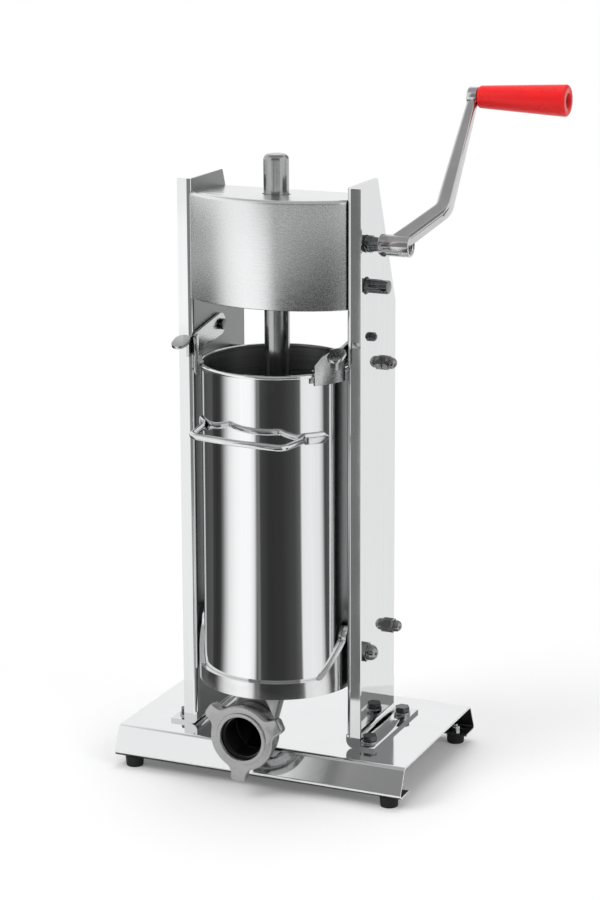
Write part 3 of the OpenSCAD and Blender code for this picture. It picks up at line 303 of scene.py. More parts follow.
def cast_metal(name, colour, rough=(0.14, 0.26), relief=0.1):
    """Tumbled and buffed casting: fine grain, soft unevenness and brighter worn patches."""
    finish = Finish(name, colour, 0.28, 1.0)
    grain = finish.noise(1500.0, 3.0, 0.7)
    skin = finish.noise(90.0, 3.0, 0.5)
    wear = finish.noise(30.0, 5.0, 0.65, 0.5)
    finish.set("Roughness", finish.reckon(finish.spread(wear, *rough), finish.spread(grain, 0.0, 0.05)))
    finish.set("Base Color", finish.tint(wear, shade(colour, 0.88), shade(colour, 1.04)))
    finish.relief(finish.reckon(finish.spread(grain, 0.0, 0.05), skin), relief, 0.0002)
    return finish.material


def spout_cast(name, colour):
    """As-cast outlet whose bore has painted shade that darkens to black behind its mouth."""
    finish = Finish(name, colour, 0.4, 1.0)
    bore_radius = 20.3
    mouth_y = box_mm("outlet_spout")[0].y
    dim_y, black_y = mouth_y + 20.0, mouth_y + 26.0
    reach = finish.distance((1.0, 0.0, 1.0), (0.0, 0.0, OUTLET_Z * MM))
    inside = finish.reckon(reach, bore_radius * MM, "LESS_THAN")
    skin = finish.noise(120.0, 4.0, 0.6)
    wear = finish.noise(30.0, 5.0, 0.65, 0.5)
    bright = finish.tint(wear, shade(colour, 0.8), colour)
    # Painted shade in the bore: grey just inside the mouth, black deeper in
    painted_bore_shade = finish.tint(finish.along("Y"), shade(colour, 0.34), shade(colour, 0.03), dim_y * MM, black_y * MM)
    finish.set("Roughness", finish.spread(wear, 0.32, 0.5))
    finish.set("Base Color", finish.blend(inside, bright, painted_bore_shade))
    finish.relief(skin, 0.2, 0.0002)
    return finish.material


def turned_steel(name, colour, rough=(0.12, 0.24), along="Z"):
    """Turned or drawn bar: rings and draw lines, oil haze and small nicks."""
    finish = Finish(name, colour, rough[0], 1.0)
    draw = finish.noise([10.0 if axis == along else 700.0 for axis in "XYZ"], 4.0, 0.65)
    haze = finish.noise(40.0, 4.0, 0.6, 0.3)
    nicks = finish.add("ShaderNodeTexVoronoi", {"Vector": finish.place, "Scale": 260.0}).outputs["Distance"]
    finish.set("Roughness", finish.reckon(finish.spread(draw, *rough), finish.spread(haze, -0.03, 0.05)))
    finish.set("Base Color", finish.tint(haze, shade(colour, 0.88), shade(colour, 1.03)))
    finish.relief(finish.reckon(draw, finish.spread(nicks, 0.0, 0.4, 0.02, 0.1)), 0.14, 0.00008)
    return finish.material


def bronze_bush(name, colour):
    """Sintered bronze: speckled, slightly oily and darker in its pores."""
    finish = Finish(name, colour, 0.35, 1.0)
    pores = finish.noise(2600.0, 3.0, 0.7)
    oil = finish.noise(90.0, 4.0, 0.6)
    finish.set("Roughness", finish.spread(oil, 0.24, 0.48))
    finish.set("Base Color", finish.tint(pores, shade(colour, 0.6), colour))
    finish.relief(pores, 0.3, 0.0001)
    return finish.material


def grip_plastic(name, colour):
    """Glossy moulded plastic: a faint flow pattern, orange peel and rubbed patches."""
    finish = Finish(name, colour, 0.2, 0.0, Specular_IOR_Level=0.32)
    peel = finish.noise(420.0, 3.0, 0.5)
    flow = finish.noise((14.0, 60.0, 60.0), 4.0, 0.6, 1.0)
    rubbed = finish.noise(55.0, 6.0, 0.7)
    finish.set("Roughness", finish.spread(rubbed, 0.24, 0.38))
    finish.set("Base Color", finish.tint(flow, shade(colour, 0.9), shade(colour, 1.06)))
    finish.relief(finish.reckon(peel, finish.spread(rubbed, 0.0, 0.4)), 0.1, 0.0002)
    return finish.material


def seal_plastic(name, colour):
    """Smooth pale plastic with tool marks and faint staining."""
    finish = Finish(name, colour, 0.42, 0.0)
    marks = finish.noise((60.0, 60.0, 900.0), 3.0, 0.6)
    stain = finish.noise(28.0, 5.0, 0.6)
    finish.set("Roughness", finish.spread(marks, 0.36, 0.52))
    finish.set("Base Color", finish.tint(stain, shade(colour, 0.93), colour))
    finish.relief(marks, 0.12, 0.0001)
    return finish.material


def moulded_rubber(name, colour):
    """Matte rubber: fine grain and dusty patches."""
    finish = Finish(name, colour, 0.75, 0.0, Specular_IOR_Level=0.35)
    grain = finish.noise(1800.0, 3.0, 0.7)
    dust = finish.noise(70.0, 6.0, 0.65, 0.5)
    finish.set("Roughness", finish.spread(dust, 0.6, 0.9))
    finish.set("Base Color", finish.tint(dust, colour, tuple(c + 0.015 for c in colour), 0.4, 0.75))
    finish.relief(grain, 0.35, 0.00015)
    return finish.material


def make_looks(colours):
    """A finish for each material slot of the record, and for the pieces that differ from their slot's."""
    sheet, cast, dark = tuple(colours.sheet), tuple(colours.cast), tuple(colours.dark)
    return {
        "base_sheet": base_sheet("base_polished_sheet", shade(sheet, 1.15)),
        "upright_sheet": upright_sheet("upright_polished_sheet", sheet),
        "housing_sheet": brushed_sheet("housing_brushed_sheet", shade(sheet, 1.12), "X"),
        "cylinder_sheet": cylinder_sheet("cylinder_mirror_sheet", shade(sheet, 1.15)),
        "polished_wire": turned_steel("handle_polished_wire", sheet, (0.06, 0.14), "X"),
        "cast_metal": cast_metal("cast_and_buffed", cast),
        "bright_steel": turned_steel("ground_bright_bar", shade(sheet, 0.55), (0.1, 0.16), "Z"),
        "plated_steel": turned_steel("plated_fastener", shade(cast, 0.8), (0.1, 0.2), "Z"),
        "dark_steel": turned_steel("oiled_dark_steel", shade(dark, 1.6), (0.06, 0.12), "X"),
        "gear_steel": turned_steel("hobbed_gear_steel", shade(cast, 0.7), (0.24, 0.4), "X"),
        "bronze": bronze_bush("sintered_bronze", tuple(colours.bronze)),
        "seal_plastic": seal_plastic("pale_seal_plastic", tuple(colours.seal)),
        "piston_metal": turned_steel("turned_piston", cast, (0.18, 0.3), "Z"),
        "foot_rubber": moulded_rubber("foot_rubber", tuple(colours.rubber)),
        "seal_rubber": moulded_rubber("seal_ring_rubber", tuple(colours.rubber)),
        "grip_plastic": grip_plastic("red_grip_plastic", tuple(colours.grip)),
        "dark_bolt": turned_steel("blackened_bolt", shade(dark, 1.1), (0.16, 0.3), "Z"),
        "lever_plate": brushed_sheet("lever_satin_plate", shade(sheet, 0.8), "Y", (0.2, 0.32), 0.12),
        "crank_plate": cast_metal("crank_buffed_plating", shade(cast, 1.05), (0.08, 0.15), 0.02),
        "spout_cast": spout_cast("spout_as_cast", shade(cast, 0.8)),
        "nut_cast": cast_metal("nut_satin_casting", shade(cast, 0.68), (0.18, 0.3), 0.08),
        "cradle_cast": cast_metal("cradle_polished_casting", shade(cast, 1.3), (0.07, 0.13), 0.02),
        "acorn_plate": turned_steel("acorn_nut_plating", shade(cast, 0.5), (0.04, 0.09), "X"),
    }


LOOKS = {}


def look_of(slot):
    """The finish of a material slot, made when it is first asked for."""
    if not LOOKS:
        LOOKS.update(make_looks(bpy.context.scene.stuffer_colours))
    return LOOKS[slot]


# Making pieces


def keep_flats(bm, sharp):
    """Keeps a large flat face flat where it runs into the facets of a bend."""
    def neighbour_sizes(face):
        """Sizes of the faces that a soft edge joins to this one."""
        return [other.calc_area() for line in face.edges if len(line.link_faces) == 2
                and line.calc_face_angle() < sharp for other in line.link_faces if other is not face]

    flats = [face for face in bm.faces if face.calc_area() > LARGE_FACE
             and all(size < face.calc_area() * NEIGHBOUR_SHARE for size in neighbour_sizes(face))]
    for face in flats:
        face.smooth = False
        for other in {other for line in face.edges for other in line.link_faces}:
            if other.smooth and other.normal.dot(face.normal) > SAME_PLANE:
                other.smooth = False
                flats.append(other)


def finish_piece(name, bm, nodes, look=None, edge=0.0, steps=2, sharp=35.0):
    """Turns a bmesh drawn in millimetres into a piece that stands for CAD nodes of one body."""
    for face in bm.faces:
        face.smooth = True
    if not edge:
        for line in bm.edges:
            line.smooth = len(line.link_faces) == 2 and line.calc_face_angle() < math.radians(sharp)
    if edge < WIDE_EDGE:
        keep_flats(bm, math.radians(sharp))
    bmesh.ops.scale(bm, vec=(MM, MM, MM), verts=bm.verts)
    mesh = bpy.data.meshes.new(name)
    bm.to_mesh(mesh)
    bm.free()
    piece = bpy.data.objects.new(name, mesh)
    bpy.context.scene.collection.objects.link(piece)
    slot = SLOTS[nodes[0]]
    mesh.materials.append(look_of(look or slot))
    if edge:
        bevel = piece.modifiers.new("rounded edges", "BEVEL")
        bevel.width = edge
        bevel.segments = steps
        bevel.limit_method = "ANGLE"
        bevel.angle_limit = math.radians(sharp)
        bevel.harden_normals = True
        bevel.material = -1
    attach(piece, BODIES[nodes[0]])
    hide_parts(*nodes)


def copy_of(node):
    """A merged copy of a CAD node's triangles, in millimetres."""
    bm = bmesh.new()
    bm.from_mesh(frame["nodes"][node].data)
    bmesh.ops.scale(bm, vec=(1 / MM, 1 / MM, 1 / MM), verts=bm.verts)
    bmesh.ops.remove_doubles(bm, verts=bm.verts, dist=MERGE_REACH)
    bmesh.ops.dissolve_degenerate(bm, dist=MERGE_REACH / 5, edges=bm.edges)
    bmesh.ops.dissolve_limit(bm, angle_limit=math.radians(JOIN_ANGLE), use_dissolve_boundaries=False,
                             verts=bm.verts, edges=bm.edges)
    return bm


def dress(node, edge=0.0, steps=2, sharp=35.0, look=None):
    """A smoothed, finished copy of a CAD node with its cut edges rounded."""
    finish_piece(node + "_dressed", copy_of(node), [node], look, edge, steps, sharp)


def arc(centre, radius, start, end, steps=6):
    """Points of an arc in a lathe outline, angles in degrees."""
    return [(centre[0] + radius * math.cos(math.radians(start + (end - start) * i / steps)),
             centre[1] + radius * math.sin(math.radians(start + (end - start) * i / steps)))
            for i in range(steps + 1)]


def lathe(bm, outline, centre, axis, steps=96):
    """Spins a closed outline of radii and heights once round an axis."""
    axis = Vector(axis).normalized()
    side = axis.orthogonal().normalized()
    verts = [bm.verts.new(Vector(centre) + side * radius + axis * height) for radius, height in outline]
    edges = [bm.edges.new(pair) for pair in zip(verts, verts[1:] + verts[:1])]
    bmesh.ops.spin(bm, geom=verts + edges, cent=centre, axis=axis, angle=math.tau, steps=steps,
                   use_merge=True)
    bmesh.ops.remove_doubles(bm, verts=bm.verts, dist=SEAM_REACH)
    bmesh.ops.recalc_face_normals(bm, faces=bm.faces)


def rounded_ring(bm, centre, across, along, half_a, half_b, corner, steps=4):
    """A loop of edges round a rounded rectangle, ready to bridge."""
    verts = bmesh.ops.create_circle(bm, segments=4 * (steps + 1), radius=1)["verts"]
    for i, vert in enumerate(verts):
        quarter, part = divmod(i, steps + 1)
        angle = math.tau / 4 * (quarter + part / steps)
        x = (1, -1, -1, 1)[quarter] * (half_a - corner) + corner * math.cos(angle)
        y = (1, 1, -1, -1)[quarter] * (half_b - corner) + corner * math.sin(angle)
        vert.co = Vector(centre) + Vector(across) * x + Vector(along) * y
    return list({line for vert in verts for line in vert.link_edges})


def sweep(bm, rings):
    """Bridges loops of edges one after another and closes both ends."""
    for first, second in zip(rings, rings[1:]):
        bmesh.ops.bridge_loops(bm, edges=first + second)
    for loop in (rings[0], rings[-1]):
        bmesh.ops.contextual_create(bm, geom=loop)
    bmesh.ops.recalc_face_normals(bm, faces=bm.faces)


# Settings


class StufferSizes(bpy.types.PropertyGroup):
    """Sizes that only change the look of the finished pieces."""

    sheet_edge: FloatProperty(
        name="Sheet edge", description="Rounding of the cut edges of the steel sheets",
        default=0.00045, min=0.0001, max=0.001, unit="LENGTH", precision=5)
    housing_edge: FloatProperty(
        name="Housing edge", description="Rounding of the housing's top front edge",
        default=0.004, min=0.001, max=0.0045, unit="LENGTH", precision=4)
    nut_edge: FloatProperty(
        name="Nut edge", description="Rounding of the ring nut's lobes",
        default=0.002, min=0.0003, max=0.003, unit="LENGTH", precision=4)
    arm_edge: FloatProperty(
        name="Arm edge", description="Rounding of the crank arm's long edges",
        default=0.0032, min=0.0005, max=0.004, unit="LENGTH", precision=4)


class StufferColours(bpy.types.PropertyGroup):
    """Colours of the finishes."""

    sheet: FloatVectorProperty(
        name="Sheet steel", description="Colour of the stainless sheets, bars and wire",
        default=(0.72, 0.725, 0.73), subtype="COLOR", min=0, max=1)
    cast: FloatVectorProperty(
        name="Cast metal", description="Colour of the castings, gears, piston and plated fasteners",
        default=(0.6, 0.6, 0.605), subtype="COLOR", min=0, max=1)
    dark: FloatVectorProperty(
        name="Dark steel", description="Colour of the oiled shafts, pins and dark screws",
        default=(0.11, 0.112, 0.115), subtype="COLOR", min=0, max=1)
    bronze: FloatVectorProperty(
        name="Bronze", description="Colour of the shaft bushes",
        default=(0.085, 0.075, 0.062), subtype="COLOR", min=0, max=1)
    grip: FloatVectorProperty(
        name="Grip", description="Colour of the crank's grip",
        default=(0.83, 0.012, 0.014), subtype="COLOR", min=0, max=1)
    rubber: FloatVectorProperty(
        name="Rubber", description="Colour of the feet and the spout's seal",
        default=(0.01, 0.01, 0.01), subtype="COLOR", min=0, max=1)
    seal: FloatVectorProperty(
        name="Seal plastic", description="Colour of the rod's bushes, the piston's seal and the air valve",
        default=(0.8, 0.8, 0.77), subtype="COLOR", min=0, max=1)


# Operators


# The camera: its place in metres, its angles in degrees and its lens in millimetres
CAMERA_PLACE = (0.9845, -2.1969, 0.9491)
CAMERA_TURN = 23.36
CAMERA_TILT = 77.62
CAMERA_ROLL = -0.16
CAMERA_LENS = 102.23
CAMERA_SHIFT = (-0.0125, -0.1043)

# The studio: half the floor's side, what the lamps aim at, and the strongest glow of a floor ring
FLOOR_HALF = 30.0
LAMP_AIM = Vector((0, 0, 0.35))
RING_GLOW = 2.0
WHITE = (1.0, 1.0, 1.0, 1.0)
BLACK = (0.0, 0.0, 0.0)


class STUFFER_OT_stage(bpy.types.Operator):
    """Sets up the camera, the pale floor, the soft lamps and the studio cards"""

    bl_idname = "stuffer.stage"
    bl_label = "Stage"

    def execute(self, context):
        scene = context.scene
        scene.view_settings.view_transform = "Standard"
        self.aim_camera(scene)
        self.fill_world(scene)
        self.lay_floor()
        self.hang_lamps(scene)
        self.hang_cards()
        return {"FINISHED"}

    def aim_camera(self, scene):
        """A camera where the photo was taken from, with its lens shift."""
        lens = bpy.data.cameras.new("camera")
        lens.sensor_width = 36.0
        lens.lens = CAMERA_LENS
        lens.shift_x, lens.shift_y = CAMERA_SHIFT
        lens.clip_end = 50.0
        camera = bpy.data.objects.new("camera", lens)
        turned = Matrix.Translation(CAMERA_PLACE)
        for angle, axis in ((CAMERA_TURN, "Z"), (CAMERA_TILT, "X"), (CAMERA_ROLL, "Z")):
            turned = turned @ Matrix.Rotation(math.radians(angle), 4, axis)
        camera.matrix_world = turned
        scene.collection.objects.link(camera)
        scene.camera = camera

    def seen_share(self, tree):
        """1 for camera, glossy and transmission rays, 0 for light that falls on things."""
        rays = add_node(tree, "ShaderNodeLightPath").outputs
        share = rays["Is Camera Ray"]
        for ray in ("Is Glossy Ray", "Is Transmission Ray"):
            either = add_node(tree, "ShaderNodeMath", {0: share, 1: rays[ray]}, operation="MAXIMUM")
            share = either.outputs["Value"]
        return share

    def fill_world(self, scene):
        """Plain light for what is lit, and a white studio with a greyer ceiling for what is seen."""
        world = bpy.data.worlds.new("white studio")
        world.use_nodes = True
        scene.world = world
        tree = world.node_tree
        light = tree.nodes["Background"]
        join(tree, light.inputs["Color"], WHITE)
        join(tree, light.inputs["Strength"], 0.45)
        way = add_node(tree, "ShaderNodeTexCoord").outputs["Generated"]
        ceiling = add_node(tree, "ShaderNodeMapRange", {
            "Value": add_node(tree, "ShaderNodeSeparateXYZ", {0: way}).outputs["Z"],
            "From Min": 0.6, "From Max": 0.85, "To Min": 1.0, "To Max": 0.45,
        }).outputs["Result"]
        seen = add_node(tree, "ShaderNodeBackground", {"Color": WHITE, "Strength": ceiling})
        both = add_node(tree, "ShaderNodeMixShader",
                        {0: self.seen_share(tree), 1: light.outputs[0], 2: seen.outputs[0]})
        join(tree, tree.nodes["World Output"].inputs["Surface"], both.outputs[0])

    def lay_floor(self):
        """A pale floor that keeps the shadow near the object and runs out to white."""
        bm = bmesh.new()
        bmesh.ops.create_grid(bm, x_segments=1, y_segments=1, size=FLOOR_HALF)
        floor = self.card("studio_floor", bm)
        finish = Finish("pale_floor", (0.88, 0.88, 0.88), 0.9, Specular_IOR_Level=0.1, Emission_Color=WHITE)
        seen = self.seen_share(finish.tree)
        finish.set("Emission Strength", finish.reckon(seen, 0.12, "MULTIPLY"))
        fade = finish.add("ShaderNodeMapRange", {
            "Value": finish.distance((1.0, 1.0, 1.0)), "From Min": 0.25, "From Max": 0.8,
        }, interpolation_type="SMOOTHSTEP").outputs["Result"]
        both = finish.add("ShaderNodeMixShader", {
            0: finish.reckon(fade, seen, "MULTIPLY"), 1: finish.shader.outputs[0],
            2: finish.add("ShaderNodeEmission").outputs[0],
        })
        join(finish.tree, finish.tree.nodes["Material Output"].inputs["Surface"], both.outputs[0])
        floor.data.materials.append(finish.material)

    def card(self, name, bm):
        """A piece of the studio, which isn't part of the object."""
        mesh = bpy.data.meshes.new(name)
        bm.to_mesh(mesh)
        bm.free()
        card = bpy.data.objects.new(name, mesh)
        bpy.context.scene.collection.objects.link(card)
        return card

    def hang_lamps(self, scene):
        """Three soft round lamps, left out of the reflections."""
        for name, place, size, power in (
            ("key", (-1.6, -1.8, 2.6), 2.0, 42.0),
            ("fill", (2.4, -0.8, 1.8), 1.6, 16.0),
            ("top", (0.0, 0.6, 3.0), 2.2, 34.0),
        ):
            light = bpy.data.lights.new(name, "AREA")
            light.shape = "DISK"
            light.size = size
            light.energy = power
            lamp = bpy.data.objects.new(name, light)
            aim = (LAMP_AIM - Vector(place)).to_track_quat("-Z", "Y")
            lamp.matrix_world = Matrix.Translation(place) @ aim.to_matrix().to_4x4()
            lamp.visible_glossy = False
            scene.collection.objects.link(lamp)

    def hang_cards(self):
        """Cards that only bright metal sees, as a studio lays and hangs them round it."""
        self.lay_rings()
        for name, start, end, near, far, tone in (
            ("front_high", -23.6, 56.8, (6.0, 0.4), (6.0, 6.5), 0.27),
            ("far_right", 138.0, 178.0, (6.0, 0.9), (6.0, 5.0), 0.32),
            ("flange_strip", -3.6, 0.4, (0.251, -0.04), (0.251, 0.6), 0.2),
        ):
            card = self.spun_card(name + "_card", start, end, near, far)
            finish = Finish(name + "_tone", BLACK, 0.5, Specular_IOR_Level=0.0,
                            Emission_Color=(tone, tone, tone, 1), Emission_Strength=1.0)
            card.data.materials.append(finish.material)

    def spun_card(self, name, start, end, near, far):
        """A card swept round the object from one bearing to another, 0 being the front."""
        angle = math.radians(start)
        bm = bmesh.new()
        verts = [bm.verts.new((radius * math.sin(angle), -radius * math.cos(angle), height))
                 for radius, height in (near, far)]
        line = bm.edges.new(verts)
        bmesh.ops.spin(bm, geom=verts + [line], cent=(0, 0, 0), axis=(0, 0, 1),
                       angle=math.radians(end - start), steps=48)
        card = self.card(name, bm)
        card.visible_camera = False
        card.visible_diffuse = False
        card.visible_shadow = False
        return card

    def lay_rings(self):
        """Rings on the floor, white and dark by turns, that give bright metal its upright stripes.

        Each ring has its tones by bearing, in degrees from the front.
        """
        striped = (
            (-88, 0.05), (-79, 0.035), (-71, 0.05), (-66, 0.2), (-61, 0.5), (-53, 0.9), (-45, 1.05),
            (-32, 1.15), (-18, 1.14), (-11, 0.9), (-7, 0.12), (0, 0.06), (12, 0.035), (30, 0.04),
            (48, 0.07), (57, 0.14), (59, 0.93), (75, 0.98), (88, 0.9), (93, 0.6), (96.5, 0.07),
            (112, 0.12), (116, 0.2), (122, 0.95), (146, 1.02), (200, 0.95), (222, 0.2), (243, 0.075),
            (258, 0.1),
        )
        soft = (
            (-88, 0.55), (-69, 0.67), (-59, 0.93), (-50, 1.13), (-30, 1.28), (-15, 1.2), (-8, 0.95),
            (-1, 0.73), (9, 0.54), (16, 0.47), (26, 0.3), (33, 0.2), (50, 0.16), (64, 0.12), (80, 0.12),
            (108, 0.2), (122, 0.8), (146, 1.02), (200, 0.95), (222, 0.5), (258, 0.5),
        )
        for name, near, far, tones in (
            ("cylinder", 0.3, 2.2, striped), ("housing", 2.2, 3.5, soft), ("rod", 3.5, 6.0, striped),
        ):
            card = self.spun_card(name + "_floor_ring", -90.0, 270.0, (near, 0.003), (far, 0.003))
            card.data.materials.append(self.ring_tones(name, tones))

    def ring_tones(self, name, tones):
        """A glow that changes with the bearing, 0 being the front."""
        finish = Finish(name + "_ring_tones", BLACK, 0.5, Specular_IOR_Level=0.0, Emission_Strength=RING_GLOW)
        round_about = finish.add("ShaderNodeTexGradient", {0: finish.place}, gradient_type="RADIAL")
        ramp = finish.add("ShaderNodeValToRGB", {0: round_about.outputs["Fac"]})
        stops = ramp.color_ramp.elements
        for bearing, tone in tones:
            share = tone / RING_GLOW
            stops.new(bearing / 360.0 + 0.25).color = (share, share, share, 1)
        stops.remove(stops[0])
        stops.remove(stops[-1])
        finish.set("Emission Color", ramp.outputs["Color"])
        return finish.material


class STUFFER_OT_base(bpy.types.Operator):
    """Dresses the base sheet, its rubber feet and their screws"""

    bl_idname = "stuffer.base"
    bl_label = "Base and feet"

    def execute(self, context):
        dress("base_plate", context.scene.stuffer_sizes.sheet_edge)
        dress("rubber_feet", RUBBER_EDGE)
        dress("foot_screws", FINE_EDGE)
        dress("foot_nuts", CAST_EDGE)
        return {"FINISHED"}


class STUFFER_OT_uprights(bpy.types.Operator):
    """Dresses the two uprights and the bolts, washers and nuts of their feet"""

    bl_idname = "stuffer.uprights"
    bl_label = "Uprights"

    def execute(self, context):
        for node in ("left_upright", "right_upright"):
            dress(node, context.scene.stuffer_sizes.sheet_edge)
        dress("upright_bolts", CAST_EDGE, look="dark_bolt")
        dress("upright_washers", THIN_EDGE)
        dress("upright_nuts", CAST_EDGE)
        return {"FINISHED"}


class STUFFER_OT_bars(bpy.types.Operator):
    """Dresses the rear stop bar, the lower tie bar and their acorn nuts"""

    bl_idname = "stuffer.bars"
    bl_label = "Bars and acorn nuts"

    def execute(self, context):
        dress("rear_stop_bar")
        dress("lower_tie_bar", FINE_EDGE)
        dress("acorn_nuts", FINE_EDGE, look="acorn_plate")
        return {"FINISHED"}


class STUFFER_OT_gearbox(bpy.types.Operator):
    """Dresses the gear housing with its covers, bridge and bushes"""

    bl_idname = "stuffer.gearbox"
    bl_label = "Gear housing"

    def execute(self, context):
        self.housing(context.scene.stuffer_sizes)
        dress("rear_cover", FINE_EDGE)
        dress("housing_floor")
        dress("guide_bridge")
        dress("rod_bushes", FINE_EDGE)
        dress("shaft_bushes", THIN_EDGE)
        return {"FINISHED"}

    def housing(self, sizes):
        """The bulged housing sheet, with its front edge rolled over to the top."""
        bm = copy_of("gear_housing")
        low, high = box_mm("gear_housing")
        edge_reach = 0.6
        bulge_back = low.y + 29
        least_angle = 0.8
        wall_tilt, front_tilt = 0.3, -0.2
        lower_share = 0.3

        def on_front_rim(line, height):
            """Whether a sharp edge runs along the bulged front at this height."""
            near = all(abs(vert.co.z - height) < edge_reach and vert.co.y < bulge_back for vert in line.verts)
            on_front = any(abs(face.normal.z) < wall_tilt and face.normal.y < front_tilt
                           for face in line.link_faces)
            return near and on_front and len(line.link_faces) == 2 and line.calc_face_angle() > least_angle

        for height, round_off in ((high.z, sizes.housing_edge), (low.z, sizes.housing_edge * lower_share)):
            rim = [line for line in bm.edges if on_front_rim(line, height)]
            bmesh.ops.bevel(bm, geom=rim, offset=round_off / MM, offset_type="OFFSET", affect="EDGES",
                            segments=6, profile=0.5, material=-1, clamp_overlap=False)
        finish_piece("gear_housing_shell", bm, ["gear_housing"])


class STUFFER_OT_drive(bpy.types.Operator):
    """Dresses both shafts with their rings, gears and pinions"""

    bl_idname = "stuffer.drive"
    bl_label = "Shafts and gears"

    def execute(self, context):
        for node in ("upper_shaft", "lower_shaft"):
            dress(node, FINE_EDGE)
        for node in ("upper_shaft_rings", "lower_shaft_rings"):
            dress(node, THIN_EDGE)
        for node in ("drive_gear", "rack_pinion", "lower_pinion"):
            dress(node)
        return {"FINISHED"}


class STUFFER_OT_cylinder(bpy.types.Operator):
    """Dresses the meat cylinder and its wire handle"""

    bl_idname = "stuffer.cylinder"
    bl_label = "Cylinder and handle"

    def execute(self, context):
        dress("cylinder")
        dress("cylinder_handle", sharp=75.0)
        return {"FINISHED"}


class STUFFER_OT_outlet(bpy.types.Operator):
    """Dresses the outlet, its seal and the three-lobed ring nut"""

    bl_idname = "stuffer.outlet"
    bl_label = "Outlet and ring nut"

    def execute(self, context):
        dress("outlet_spout", CAST_EDGE, look="spout_cast")
        dress("spout_seal", FINE_EDGE)
        self.nut(context.scene.stuffer_sizes)
        return {"FINISHED"}

    def nut(self, sizes):
        """The three-lobed nut, with a rounded bead raised round its mouth."""
        bm = copy_of("ring_nut")
        face_y = box_mm("ring_nut")[0].y
        inner, outer, corner = 21.7, 25.9, 0.9
        root, shoulder = -1.5, 0.4
        bead = ([(inner, root), (inner, shoulder)] + arc((inner + corner, shoulder), corner, 180, 90, 5)
                + arc((outer - corner, shoulder), corner, 90, 0, 5) + [(outer, root)])
        lathe(bm, bead, (0, face_y, OUTLET_Z), (0, -1, 0))
        finish_piece("ring_nut_cast", bm, ["ring_nut"], "nut_cast", sizes.nut_edge, 5)


class STUFFER_OT_cradle(bpy.types.Operator):
    """Dresses the cradle under the cylinder, its pivots and their domed nuts"""

    bl_idname = "stuffer.cradle"
    bl_label = "Cradle"

    def execute(self, context):
        dress("cradle", sharp=50.0, look="cradle_cast")
        dress("cradle_pivots", FINE_EDGE)
        dress("cradle_pivot_nuts", FINE_EDGE, look="acorn_plate")
        return {"FINISHED"}


class STUFFER_OT_piston(bpy.types.Operator):
    """Dresses the rack rod, the piston with its seal and bolt, and the air valve"""

    bl_idname = "stuffer.piston"
    bl_label = "Rod and piston"

    def execute(self, context):
        dress("rack_rod")
        dress("piston_disc", CAST_EDGE)
        dress("piston_seal", CAST_EDGE)
        dress("piston_bolt", FINE_EDGE)
        dress("air_valve", FINE_EDGE)
        return {"FINISHED"}


